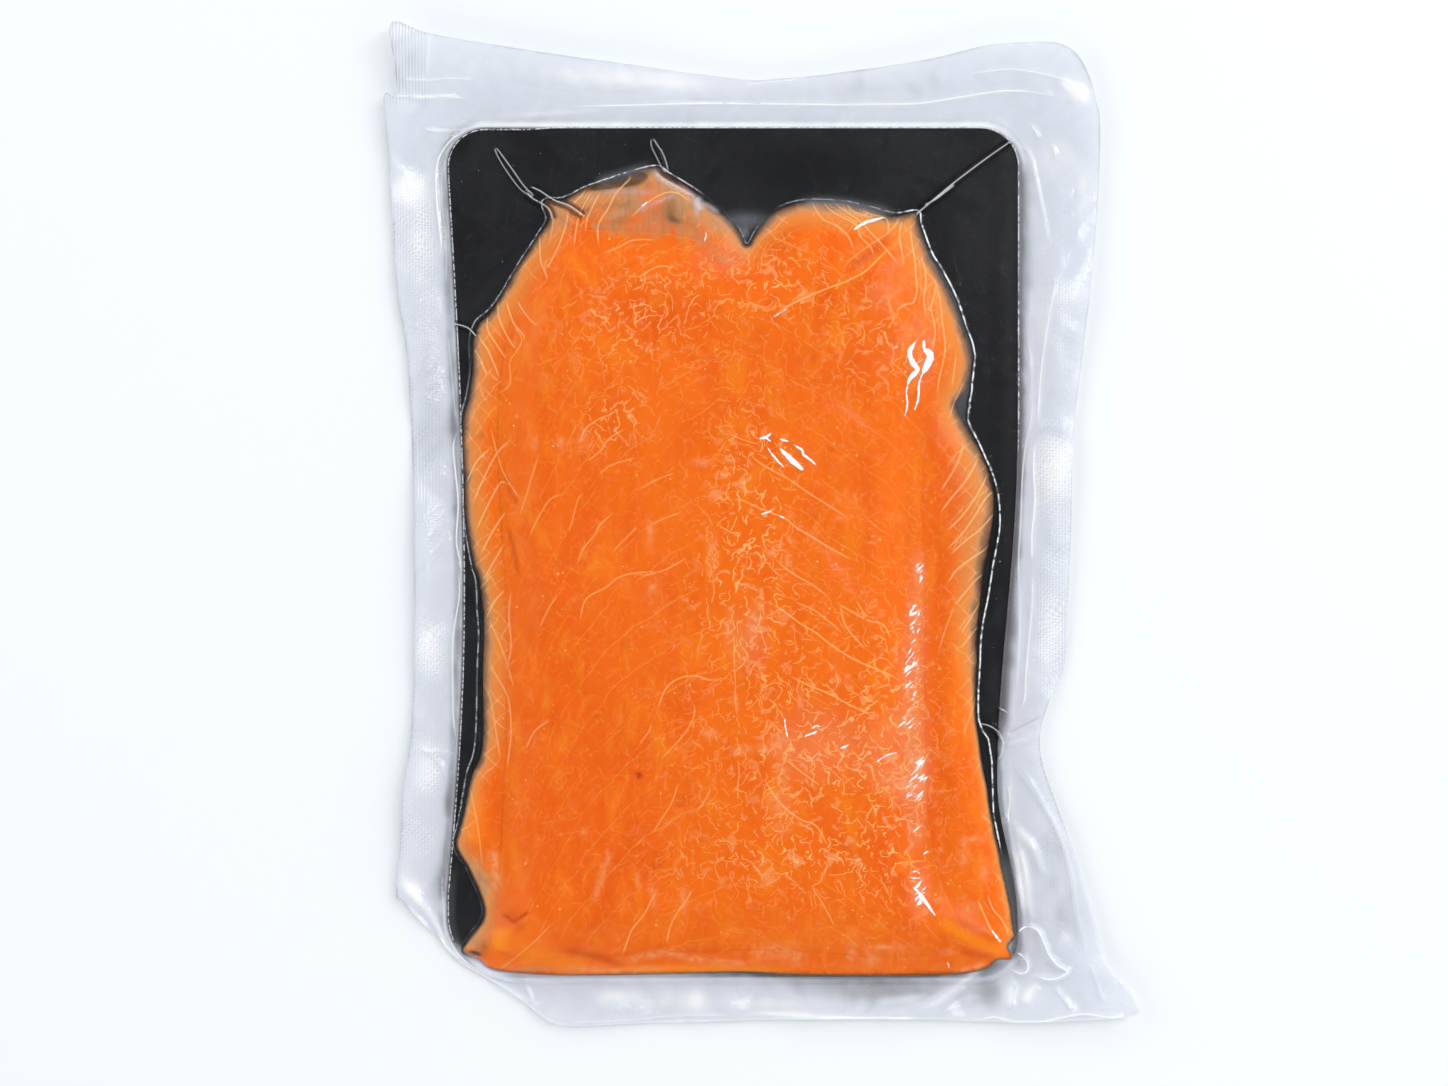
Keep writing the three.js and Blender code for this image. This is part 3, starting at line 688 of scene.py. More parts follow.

# Paler (+) and greyer (-) places of the film, partly its own uneven milkiness and partly painted glare and
# painted
# shade: strength, middle, half sizes and turn.
toneSpots = [
    (0.85, (-24.3, 124.1), (22.33, 2.63), -5), (0.9, (-84.7, 95.8), (4.47, 4.2)),
    (0.55, (-82.1, 82.1), (4.2, 11.03)), (0.9, (90.8, 120.4), (3.68, 2.1), -30),
    (0.45, (86.6, 103.1), (6.83, 5.78), -40), (0.5, (92.3, 95.2), (2.1, 5.78)),
    (0.6, (88.7, 68.4), (4.2, 4.2)), (0.3, (86, 50.6), (2.63, 10.51)), (1, (84.5, 21.1), (4.73, 9.98)),
    (0.55, (83.9, -19), (3.42, 11.56)), (0.2, (80.8, 58.5), (2.63, 15.76)),
    (0.85, (-79.5, -25.6), (4.2, 6.83)), (0.7, (-80, -56.6), (3.94, 5.78)),
    (0.9, (-83.9, -88.1), (4.2, 2.36), -45), (0.65, (76.1, -80.8), (1.84, 10.51), 8),
    (0.6, (77.1, -116.2), (4.73, 3.15)), (0.65, (-30.9, -117), (6.83, 2.63)),
    (0.65, (-9.3, -117.6), (2.36, 4.2)), (0.4, (9.9, -118.6), (10.51, 1.58)),
    (0.25, (-66.3, 129.4), (7.88, 4.73)), (-0.45, (75.5, 88.7), (1.84, 15.76)),
    (-0.7, (71.3, -80.8), (1.84, 18.39), 8), (-0.75, (67.6, -116), (3.68, 4.2)),
    (-0.5, (38.7, -115.5), (21.02, 2.36)), (-0.35, (-61.1, -117.6), (15.76, 2.63), -30),
    (-0.3, (-74.7, -68.2), (1.58, 10.51)), (-0.3, (93.4, 128.9), (2.63, 4.2)),
    (-0.25, (38.7, 122), (21.02, 2.1), 4), (-0.25, (-79.5, 40.1), (4.2, 15.76)),
    (-0.2, (83.4, 41.4), (3.68, 7.88)), (-0.25, (83.4, 2), (4.2, 3.68)),
    (-0.2, (80.8, -38.7), (3.15, 5.25)), (-0.2, (86, -91.3), (2.63, 15.76), 12),
    (-0.15, (-45.3, 129.4), (10.51, 2.1), -6), (-0.3, (-84.2, 129.4), (3.15, 6.83)),
    (-0.35, (83.4, -107.6), (2.1, 2.1)), (-0.3, (78.2, -104.4), (2.63, 3.15)),
    (-0.3, (86, -73), (4, 9)), (-0.3, (44, -117.5), (12, 4)), (0.5, (-12, -117.6), (16, 3.4)),
    (-0.4, (-76.8, -91.3), (4, 8)), (0.3, (83.4, -24), (4, 10)), (-0.4, (75, -107.6), (1.6, 2.6), 20),
    (0.3, (79.4, -104.6), (2.6, 4.4), 20), (0.35, (-76.9, -93.6), (1.2, 2)),
]

# Places of the margin that are embossed: strength, middle and half sizes.
embossSpots = [
    (1, (-82.6, 83.4), (5.78, 15.76)), (1, (-79.2, -25.6), (4.73, 7.36)), (1, (-80, -57.1), (4.47, 6.83)),
    (1, (84.5, 19.6), (4.73, 11.56)), (1, (83.9, -15.6), (3.68, 14.19)), (1, (-82.6, -75.5), (4.2, 5.25)),
]

# Painted highlights, white gleams drawn on the film: half width and line.
paintedGlints = withLines([
    (0.72, [(47.7, 55), (46.1, 52.1), (46.9, 49.5), (48.2, 47.7), (46.4, 45.6), (45.6, 43.7)]),
    (0.25, [(46.1, 45.6), (45.3, 41.9), (45.6, 38.7), (44.8, 35.3)]),
    (0.95, [(50.6, 53.2), (51.7, 51.4), (50.8, 49), (49.5, 46.6)]),
    (0.42, [(49.8, 55.6), (50, 53.2), (51.1, 51.1)]),
    (0.3, [(49.8, 47.2), (48.7, 44.3), (48.5, 40.6), (47.4, 36.9)]),
    (0.42, [(31.7, 84.2), (33.2, 85.5), (35.9, 86.8), (40.1, 87.9)]),
    (0.42, [(7, 29.6), (8.8, 30.1), (10.1, 31.1)]),
    (0.3, [(8.5, 30.1), (10.1, 28.8)]),
    (0.26, [(8.8, 27.7), (10.4, 25.4), (13.5, 21.9)]),
    (0.7, [(12.2, 27.2), (13.8, 25.6), (15.6, 23.8), (18.5, 21.4)]),
    (0.3, [(12, 29.6), (14.6, 28.8)]),
    (0.34, [(15.6, 28.2), (18, 26.7), (18.5, 25.4), (20.4, 24), (21.7, 22.7)]),
    (0.28, [(7.5, 9.9), (8.8, 10.4), (10.4, 10.9)]),
    (0.26, [(12, 9.6), (13.8, 8.8)]),
    (0.24, [(13.5, -43), (13.8, -45.6), (14.3, -48.2)]),
    (0.3, [(18.3, -48.2), (19.8, -47.4), (22.2, -46.4)]),
    (0.3, [(27.7, -51.1), (29, -50.6), (30.3, -50)]),
    (0.22, [(37.4, -54.8), (39, -53.5), (40.6, -52.7), (43, -52.1)]),
    (0.24, [(20.6, -45.8), (21.7, -45.1), (23, -45.3)]),
    (0.2, [(-7, 84.2), (-7, 82.6), (-7.5, 81)]),
    (0.26, [(-23.8, 90.5), (-23, 91), (-22.2, 91.8)]),
    (0.24, [(67.6, -98.4), (68.7, -100), (70.3, -102.1)]),
    (0.22, [(56.1, -107.3), (56.6, -108.1), (56.6, -109.2)]),
    (0.22, [(10.4, 61.1), (12.5, 62.4), (14.6, 63.7)]),
    (0.42, [(46.9, -87.1), (48.7, -88.9), (50.8, -91.8), (52.9, -94.7)]),
    (0.2, [(45.9, -84.6), (47.4, -84.9), (49.2, -84.9)]),
    (0.2, [(46.8, -83.2), (48, -83.2), (48.8, -83.8)]),
    (0.22, [(49.8, -78.9), (50.6, -78.3), (51.6, -77.9)]),
    (0.2, [(41.4, 52.7), (42.2, 53.2), (43.2, 53.7)]),
], step=0.35)

# Milky smears under the film: how white, half width, line.
filmWebs = withLines([
    (0.46, 0.5, [(-21, 101.6), (-20, 99.4), (-18.3, 97.5), (-14.8, 95.8), (-10.5, 93.6), (-8.6, 91.6)]),
    (0.55, 1.0, [(-9.8, 93.6), (-9, 91.2), (-8.2, 89.2)]),
    (0.4, 0.4, [(-9.6, 91.6), (-9.5, 89.4), (-9.2, 87.4)]),
    (0.3, 0.6, [(-9.3, 91.4), (-6.4, 91), (-3.4, 89)]),
    (0.16, 0.7, [(-36, 94.2), (-28.6, 94.5), (-19.4, 94)]),
    (0.2, 0.5, [(-26, 88.6), (-19.8, 91.6), (-13.6, 94)]),
    (0.12, 1.4, [(16, 91.8), (27, 91.9), (36, 90.4), (44, 88.8)]),
    (0.1, 1.2, [(-37, 97), (-27, 100), (-20.5, 101.6)]),
])

# Where fine ripples carry painted glitter: strength, middle and half sizes.
paintedSparkles = [
    (0.5, (49, 50), (3, 6)), (0.9, (48.7, -5.1), (1.58, 3.94)), (0.95, (47.9, -16.7), (2.1, 4.73)),
    (1, (46.9, -31.4), (2.63, 8.41)), (0.7, (45.6, -44.5), (3.94, 3.15)),
    (0.95, (49, -57.7), (2.1, 7.88)), (0.7, (46.1, -62.4), (2.63, 3.68)),
    (0.6, (47.9, -72.4), (1.84, 4.2)), (1, (48.7, -88.6), (2.1, 4.6)),
    (0.4, (22.5, -49.8), (8.93, 7.88)), (0.35, (39.8, -52.4), (5.25, 6.83)),
    (0.25, (-3.3, 76.3), (6.83, 3.68)), (0.3, (4.1, -23), (4.2, 6.3)),
    (0.25, (38.7, 66.3), (3.68, 3.15)),
]


def marginHeight(xy):
    m = marginForm
    outside = -depthIn(xy, clingLoop, m["run"])
    away = smooth(outside, 0, m["run"])
    x, y = xy.T
    waves = m["wave"] * (1 + wave(x + y / 2, m["waveLength"]) * wave(y - x / 2, m["waveLength"]))
    flap = np.maximum(0, y - m["flapFrom"]) * m["flapTilt"] * (1 + 0.6 * wave(x + 50, 200))
    cornerX, cornerY = m["corner"]
    curl = m["curlHeight"] * smooth(np.hypot(x / cornerX, y / cornerY), *m["curlFrom"])
    buckles = sum(height * softNoise(xy, size, seed) for height, size, seed in m["buckles"])
    folds = foldsAt(xy, [(height, width, line) for height, width, _, line in marginFolds])
    lift = away * (m["rest"] + waves + flap + curl) + smooth(outside, 0, 4) * buckles
    height = m["start"] + lift + folds * smooth(outside, 0, 1.5)
    return np.maximum(height, m["lowest"])


print("laying out the plans")
plainBottom = 6.0
upperPlan = planOf(upperLoop, 0.64)
upperBottom = planOf(upperLoop, plainBottom)
lowerPlan = planOf(salmonLoop, 0.68, keepIn=lambda p: depthIn(p, upperLoop, 3) < 2.5)
lowerBottom = planOf(salmonLoop, plainBottom)
fineLines = [(contactLoop, True)] + [(line, False) for _, _, line in filmFolds]
fineLines += [(line, False) for _, line in paintedGlints]
frontPlan = planOf(clingLoop, 0.8, [(boardLoop - outward * 0.1, True), *fineLines], fineReach=0.9)
marginPlan = planOf(
    pouchLoop, 0.75, [(line, False) for _, _, _, line in marginFolds], fineStep=0.4,
    keepIn=lambda p: depthIn(p, clingLoop, 3) < -0.3, rings=[clingLoop])
print("triangles:", [len(plan[1]) for plan in (upperPlan, lowerPlan, frontPlan, marginPlan)])


# The coordinate across the main lines of fat: arches down both flanks from the middle of the back.
def archGrain(xy, back=0.7):
    x, y = xy.T
    u = np.abs(x - back)
    return y + np.where(x < back, 0.35 * u + 0.00023 * u**3, 0.3 * u + 0.0075 * u**2)


# Lines drawn in the flesh, near its edge and inwards: how pale, and the line.
edgeLines = withLines([
    (0.75, [(-38.5, 95.2), (-39.8, 93.4), (-42.2, 91)]),
    (0.8, [(-36.6, 95), (-38.5, 91.8), (-39.8, 88.9), (-40.8, 85.2), (-41.4, 79.7)]),
    (0.8, [(-34.5, 94.7), (-36.4, 91), (-38, 87.3), (-38.5, 83.7)]),
    (0.9, [(-26.9, 100), (-26.9, 98.1), (-28.5, 96.3), (-30.6, 93.9), (-32.4, 90.2), (-34.3, 87.3),
         (-35.3, 84.5), (-34.8, 79.7)]),
    (0.8, [(-43, 90), (-43.5, 86), (-45.1, 81), (-46.9, 77.1), (-49, 73.4)]),
    (0.8, [(-50.6, 83.7), (-50.3, 76.8), (-49, 73.4), (-48.2, 70.8)]),
    (0.6, [(-48.7, 91), (-47.2, 88.1), (-47.2, 85.2), (-47.9, 81.6)]),
    (0.85, [(-64.2, 63.7), (-64.2, 58.5), (-62.1, 55), (-59, 50.3)]),
    (0.85, [(-61.6, 66.3), (-61.3, 61.9), (-59.5, 57.7), (-57.7, 54.5), (-55.8, 52.9)]),
    (0.8, [(-59.5, 66.3), (-58.2, 62.4), (-57.1, 59.8), (-54.5, 56.6), (-54.5, 55)]),
    (0.7, [(-56.6, 66.3), (-54.5, 62.9), (-52.4, 60.3), (-50.6, 59)]),
    (0.8, [(-66.6, 56.6), (-64.2, 53.2), (-62.4, 49.3), (-60.8, 45.3)]),
    (0.7, [(-68.2, 54), (-66.3, 51.1), (-65, 47.9), (-64.2, 45.8)]),
    (0.5, [(-66.3, 43.7), (-65.5, 41.4), (-64.2, 39.3)]),
    (0.75, [(-66.3, 24.3), (-63.2, 27.5)]),
    (0.85, [(-70, 18), (-66.9, 24), (-63.4, 27.2)]),
    (0.85, [(-68.4, 12.2), (-64.8, 20.1), (-61.6, 25.9), (-57.7, 29.8)]),
    (0.85, [(-67.4, 5.4), (-64.2, 12), (-61.9, 16.4), (-60.3, 18.5), (-58.2, 17.5)]),
    (0.85, [(-66.1, -0.7), (-62.7, 5.6), (-59.2, 10.9)]),
    (0.8, [(-65.5, -7.5), (-62.4, -2.2), (-59.5, 2.5)]),
    (0.75, [(-64.8, -17.5), (-62.4, -13), (-59.5, -9.6)]),
    (0.6, [(-67.1, -10.4), (-62.7, -5.6)]),
    (0.6, [(-64.8, -26.9), (-61.9, -32.2), (-58.7, -38.2), (-57.9, -47.2), (-59.2, -57.7)]),
    (0.55, [(-64.5, -16.4), (-60.3, -25.4), (-56.9, -35.9)]),
    (0.55, [(-57.9, -9.6), (-58.5, -16.9), (-57.9, -24.6), (-59.5, -32.2)]),
    (0.5, [(-65.5, -33.5), (-63.2, -39.5), (-61.9, -47.2), (-60.6, -54.8)]),
    (0.5, [(-69.2, -60.8), (-67.4, -68.2), (-66.3, -74.2), (-65.5, -81.8)]),
    (0.6, [(-54.2, -51.6), (-51.4, -46.4), (-47.4, -43.5)]),
    (0.8, [(60.8, 29.3), (59, 23.8), (56.3, 19), (54.2, 15.9)]),
    (0.9, [(64.8, 25.4), (61.6, 19.6), (57.1, 14.1), (54, 9.9)]),
    (0.9, [(67.1, 20.9), (64.5, 15.9), (60.3, 9.9), (55.8, 5.4)]),
    (0.9, [(69.7, 17.2), (66.3, 14.1), (63.2, 9.3), (59.8, 4.6), (55.6, 0.4)]),
    (0.85, [(69.7, 11.4), (65, 6.2), (60.8, 3), (56.6, -0.9)]),
    (0.85, [(69, 3.8), (66.3, 0.9), (61.6, -2.2), (58.5, -4.6), (56.1, -8.3)]),
    (0.8, [(67.6, -4.6), (64, -7), (60.8, -10.6), (57.7, -14.3)]),
    (0.75, [(65.5, -12.5), (62.7, -16.7), (59.8, -21.4)]),
    (0.65, [(64.8, -19), (62.1, -22.2), (59.8, -25.1)]),
    (0.5, [(58.2, -13.5), (55.6, -20.4), (54, -25.6)]),
    (0.5, [(64.5, -36.1), (62.4, -42.7), (60.3, -47.9)]),
    (0.8, [(64, -90.5), (65.8, -94.7), (67.6, -98.6), (70, -102.1)]),
    (0.8, [(66.6, -89.4), (68.2, -93.4), (70.8, -96.5), (72.6, -100.7)]),
    (0.7, [(20.6, 92.6), (21.9, 89.7), (23.8, 87.1), (26.7, 85.8), (29.3, 83.7), (30.6, 81.8),
         (31.7, 78.4)]),
    (0.75, [(23.2, 92.6), (25.4, 90), (28.2, 88.1), (32.2, 85.8), (33.5, 82.4), (36.1, 79.5),
         (36.9, 76.6)]),
    (0.75, [(26.1, 92.1), (29.3, 89.7), (33, 87.1), (36.1, 83.7), (39.3, 80), (42.2, 76.6),
         (44.8, 74)]),
    (0.7, [(29.6, 92.1), (31.1, 90), (33.5, 88.7), (36.9, 87.6)]),
    (0.7, [(33.8, 90), (36.4, 88.7), (39.8, 87.9), (40.8, 86.3), (40.6, 82.9)]),
    (0.75, [(44.5, 87.3), (43.7, 83.1), (44.3, 78.4), (44.8, 74.5)]),
    (0.8, [(46.4, 86.6), (46.9, 81.8), (47.7, 76.8), (47.9, 72.6), (48.2, 68.7), (47.2, 65.3),
         (45.3, 64.8), (43.2, 63.4), (42.4, 60.8)]),
    (0.7, [(49, 78.4), (50.3, 75), (50.6, 70.5), (50, 66.3), (50.6, 60.8)]),
    (0.75, [(53.5, 72.1), (52.9, 67.6), (51.9, 64), (52.9, 59), (52.7, 55.6), (51.6, 51.6)]),
    (0.7, [(54, 70.3), (54.5, 64.8), (55, 59.5), (55.6, 55), (55.3, 51.1), (54, 45.3), (53.5, 40.1)]),
    (0.6, [(58.5, 51.6), (57.9, 46.9), (57.4, 43)]),
    (0.6, [(61.1, 45.3), (58.5, 40.1), (56.6, 34.8)]),
])
fleshLines = withLines([
    (0.9, [(-20.4, 100.2), (-18.8, 98.4), (-13.8, 95.5), (-9.6, 93.1)]),
    (0.8, [(-26.9, 87.3), (-23.2, 90.8), (-18.3, 93.9), (-14.6, 94.2), (-10.4, 91.6)]),
    (0.6, [(-34.3, 77.9), (-29.8, 79.7), (-26.1, 81.6), (-19.6, 81.8)]),
    (0.6, [(-25.1, 71.3), (-21.4, 73.7), (-18.8, 74.7), (-15.6, 74.5)]),
    (0.85, [(42.2, 80.8), (38, 76.6), (34.5, 73.2), (29.3, 70.5), (23.8, 68.4), (14.1, 64),
         (9.9, 60.6)]),
    (0.45, [(44.3, 88.1), (40.8, 83.7), (35.9, 80.3), (31.1, 76.6), (28.2, 73.2)]),
    (0.5, [(-57.7, 59.8), (-55, 55.8), (-56.3, 52.7), (-58.2, 49.8), (-58.2, 44), (-61.9, 41.1)]),
    (0.5, [(-63.4, 33.2), (-61.6, 26.1), (-59.5, 20.1), (-55, 13.3)]),
    (0.45, [(-55.6, 9.6), (-54, 14.3), (-50.6, 25.1)]),
    (0.5, [(-53.2, 3.8), (-50.3, 9.6), (-47.2, 14.1), (-43.7, 15.1)]),
    (0.45, [(-42.7, 5.1), (-41.4, 9.6), (-40.1, 14.1), (-38.5, 15.6)]),
    (0.55, [(-40.6, -3.3), (-39, 0.7), (-37.4, 2.8), (-35.9, 4.6), (-34.3, 7.5), (-30.9, 10.4)]),
    (0.45, [(-50.3, -19.8), (-47.9, -14.6), (-45.3, -10.9)]),
    (0.6, [(-39.8, -18.5), (-38.2, -12.2), (-33, -9.1), (-30.1, -6.7), (-26.1, -5.4), (-19.3, -4.9)]),
    (0.6, [(-40.1, 27.7), (-38.5, 31.9), (-35.3, 34.5), (-31.7, 36.1), (-29, 37.7)]),
    (0.6, [(-38.2, 23.5), (-34.5, 26.4), (-32.2, 29.6), (-27.7, 32.4)]),
    (0.5, [(-35.1, 19.8), (-32.2, 22.5), (-27.7, 24), (-24.8, 24.8)]),
    (0.5, [(-31.4, 0.1), (-27.7, 3.8), (-24.6, 7)]),
    (0.5, [(-0.9, 31.7), (-0.1, 30.6), (3.8, 29), (7.2, 28.2)]),
    (0.65, [(3.8, 27.2), (6.2, 24), (10.9, 21.1), (13.8, 19.6), (16.2, 18), (20.4, 15.1),
         (24.3, 12.7), (30.9, 8.5)]),
    (0.7, [(-1.4, 14.3), (2.8, 13.5), (5.9, 12), (10.1, 10.4), (13.8, 8.8), (16.7, 6.4), (20.4, 4.3),
         (25.4, 1.2), (32.4, -2.5)]),
    (0.65, [(10.6, -1.2), (13.8, -4.1), (16.9, -6.2), (20.9, -8.5), (25.4, -12)]),
    (0.55, [(-24.3, -6.4), (-20.4, -5.4), (-16.7, -4.1), (-11.7, -1.2)]),
    (0.45, [(-24.3, 16.4), (-20.1, 18.8), (-14.8, 20.9)]),
    (0.5, [(-21.1, 7.2), (-16.9, 9.3), (-13.3, 10.4)]),
    (0.75, [(8.8, -12.5), (13.5, -15.4), (17.7, -18.5), (21.7, -20.9), (25.6, -24), (31.4, -27.7),
         (36.9, -30.1), (41.6, -32.2), (45.1, -34.3)]),
    (0.6, [(15.9, -12.7), (20.9, -14.8), (24.8, -17.7), (28.5, -20.6)]),
    (0.7, [(26.4, -12.7), (31.4, -15.6), (35.3, -17.7), (39.3, -18.8), (41.4, -23)]),
    (0.6, [(32.2, -12.5), (34.8, -16.9)]),
    (0.65, [(27.7, -13.8), (29.6, -19.3), (32.2, -22.5), (34.8, -25.6)]),
    (0.75, [(14.1, -31.7), (19.3, -34.3), (24.8, -36.6), (30.9, -39.8), (35.3, -41.9), (37.4, -42.4)]),
    (0.7, [(13.5, -53.5), (16.9, -56.3), (20.1, -58.7), (23, -60.8)]),
    (0.5, [(1.2, -53.5), (1.7, -56.6), (1.4, -60.8), (1.4, -64.8)]),
    (0.45, [(0.4, -20.4), (0.4, -27.7), (0.7, -33.5), (0.7, -38.2), (1.2, -43)]),
    (0.6, [(-19.3, -87.6), (-21.1, -90.5), (-23, -94.2), (-26.1, -98.1), (-27.7, -102.1), (-29, -106)]),
    (0.6, [(-10.1, -87.1), (-12, -90.5), (-14.6, -94.2), (-16.4, -98.1), (-17.2, -102.6)]),
    (0.4, [(-61.9, -110.2), (-55.3, -104.7), (-50.8, -100.7), (-46.6, -96)]),
    (0.5, [(20.4, -86.6), (24, -92.3), (26.7, -97.6)]),
    (0.75, [(7.9, -58.4), (11, -63.4), (14.3, -67), (18, -69.6), (21.8, -71.2), (25, -76.6)]),
    (0.55, [(-5.5, -61), (-7, -64.2), (-9.3, -67.5)]),
    (0.55, [(-18.9, -54.1), (-14.6, -49.6), (-11.4, -45.5), (-9.8, -41.2), (-10.8, -38.5)]),
    (0.65, [(-19.8, -41.4), (-17.3, -35.3), (-13.6, -32.6), (-9.3, -32.1), (-6.1, -33.2),
         (-2.9, -32.6)]),
    (0.5, [(-24.3, -49.8), (-21.8, -46.6), (-21.1, -44.4)]),
    (0.5, [(-21.1, -73.4), (-18.2, -69), (-15.7, -64.8), (-14.1, -60)]),
])

# Dark marks, some of them painted shade in and below folds, pale bands where a thin flap lies over, and
# bright orange bands, the one on the fold at the lower right a painted highlight: strength, half width and
# line.
darkMarksAndShade = withLines([
    (1, 0.34, [(-61.2, -94.3), (-58.7, -95.3), (-57, -96.4), (-55.2, -95), (-52.2, -93.2)]),
    (0.32, 2.0, [(-58.5, -93), (-56.2, -96), (-54.5, -99)]),
    (0.4, 1.1, [(58.6, -103.8), (64, -105.2), (69.4, -106.3)]),
    (0.3, 0.8, [(57, -94.6), (62, -97.8), (66, -100), (70, -102.4)]),
    (1, 0.75, [(-25.2, -57.2), (-24.3, -57.9), (-23.9, -58.9)]),
    (0.7, 0.5, [(-69.5, 31.4), (-66.3, 30.3), (-65, 31.8)]),
    (0.45, 0.5, [(-59.8, 21.2), (-57.6, 15), (-55.6, 12)]),
    (0.45, 0.6, [(-59, 8), (-57.2, 1), (-55.6, -7)]),
    (0.4, 1.0, [(-46, -103.6), (-38.6, -104.9), (-33, -106.6), (-27, -108.2)]),
    (0.3, 1.4, [(30, 74), (37, 79), (43, 85)]),
])
paleBands = withLines([
    (0.6, 0.9, [(-32, -107), (-26.7, -106.6), (-17.5, -104.6), (-11.5, -106.1), (1.6, -107.7),
         (8, -107)]),
    (0.5, 2.2, [(4, -106.5), (10, -104), (16, -105.5), (20, -108)]),
    (0.5, 1.2, [(-46, -109.4), (-36, -109.7), (-26, -110), (-16, -109.6)]),
    (0.85, 2.0, [(-68.4, -80), (-66.4, -85), (-64.2, -90), (-62.4, -92.4)]),
    (0.75, 1.3, [(-63.4, -77), (-62, -82), (-61.8, -90)]),
    (0.6, 0.35, [(-64.4, -97), (-68, -101.4), (-71, -104.6)]),
    (0.5, 0.3, [(-63.6, -99.6), (-67, -102.6), (-71, -104.8)]),
    (0.6, 0.4, [(-66.4, -106.6), (-69, -105.6), (-71, -104.8)]),
    (0.75, 1.0, [(57.4, -110.3), (62.6, -109.5), (67, -107.6)]),
    (0.6, 0.6, [(66.6, -62), (67.6, -68), (69.8, -79), (71.4, -88), (72.6, -95), (73.6, -100)]),
    (0.4, 1.0, [(-31, -76), (-34, -84), (-36, -92)]),
])
brightAndHighlightBands = withLines([
    (0.75, 1.5, [(52, -95), (57, -98), (62.6, -101.2), (68.4, -104.2), (73, -106.4)]),
    (1, 2.8, [(-61, -97.6), (-60.6, -101), (-61.2, -104.6)]),
    (0.75, 1.2, [(-32, -109.9), (-20, -109.3), (-8, -109.3), (6, -109.8), (18, -110.4)]),
    (0.5, 2.4, [(-56, -104), (-46, -106.8), (-36, -108.4)]),
    (0.6, 2.2, [(-68.2, -62), (-67, -69), (-68.4, -77)]),
    (0.4, 1.6, [(-44, 79), (-40, 74), (-34, 68)]),
    (0.45, 1.2, [(46.6, 84), (40, 78.4), (33, 72.8), (25, 67.6)]),
])

# Small pale spots: middle and half sizes.
paleSpots = [
    ((12.7, -49.8), (2.4, 2.6)), ((2.5, -51.4), (2.6, 1.2)), ((-5.5, -47.1), (1.4, 1.6)),
    ((8.9, -50.9), (2.4, 1.4)), ((17.5, -38.5), (0.8, 2.4)), ((12.2, -64.8), (3, 3)),
    ((13.2, -57.3), (1.5, 3)), ((12.7, -71.8), (2.4, 1.4)), ((-4.5, 15), (1.5, 1.2)),
    ((-5.3, 0.5), (1.2, 4)), ((-8.2, 23.5), (2.5, 0.9)), ((-0.7, 24.1), (2, 0.6)),
    ((14.3, -2.2), (1, 1.8)), ((10, 0), (1.6, 1)), ((5.2, -18.3), (1.1, 4)), ((-1.2, -19.9), (1.1, 3)),
    ((7.3, -15.6), (1, 3)), ((13.2, -16.7), (2, 1)), ((-21.6, 5.3), (1, 3)), ((-21, -9.2), (1.2, 1.8)),
    ((46.5, -53), (2, 10)), ((42, -60), (4, 3)), ((60.5, -78.5), (1.2, 3)), ((62, -93.5), (2, 2)),
    ((66, -84), (1.2, 2.5)), ((63, -75), (2.4, 0.8)), ((-40.8, 49.4), (0.8, 2.2)),
    ((-38.9, 30.2), (1.2, 2.4)), ((-51.6, 28.4), (0.8, 1.6)), ((-44.8, 28.9), (0.8, 1.4)),
    ((-69, 35.5), (1.5, 2)), ((-20.6, -89.6), (0.8, 3)), ((-12.6, -91), (0.9, 3)),
    ((-38.7, -73), (1, 1.2)), ((-24.8, -85), (0.6, 2)), ((36.5, -106.5), (2, 2)),
    ((31, -105), (1.2, 3)), ((40, -103), (5, 0.8)), ((56, -104.5), (2, 0.8)),
]

# The thin lobe of flesh at the upper left.
lobeLoop = smoothLine([
    (-48, 90), (-41.9, 90.6), (-36.2, 87), (-33.1, 83.8), (-26.2, 83.4), (-19.2, 83.4), (-16.6, 84.4),
    (-13.5, 82.3), (-10.1, 81), (-5.3, 78.4), (-0.9, 76), (3.2, 78), (4, 84), (-8, 96), (-18, 104),
    (-28, 102), (-40, 98)], closed=True)

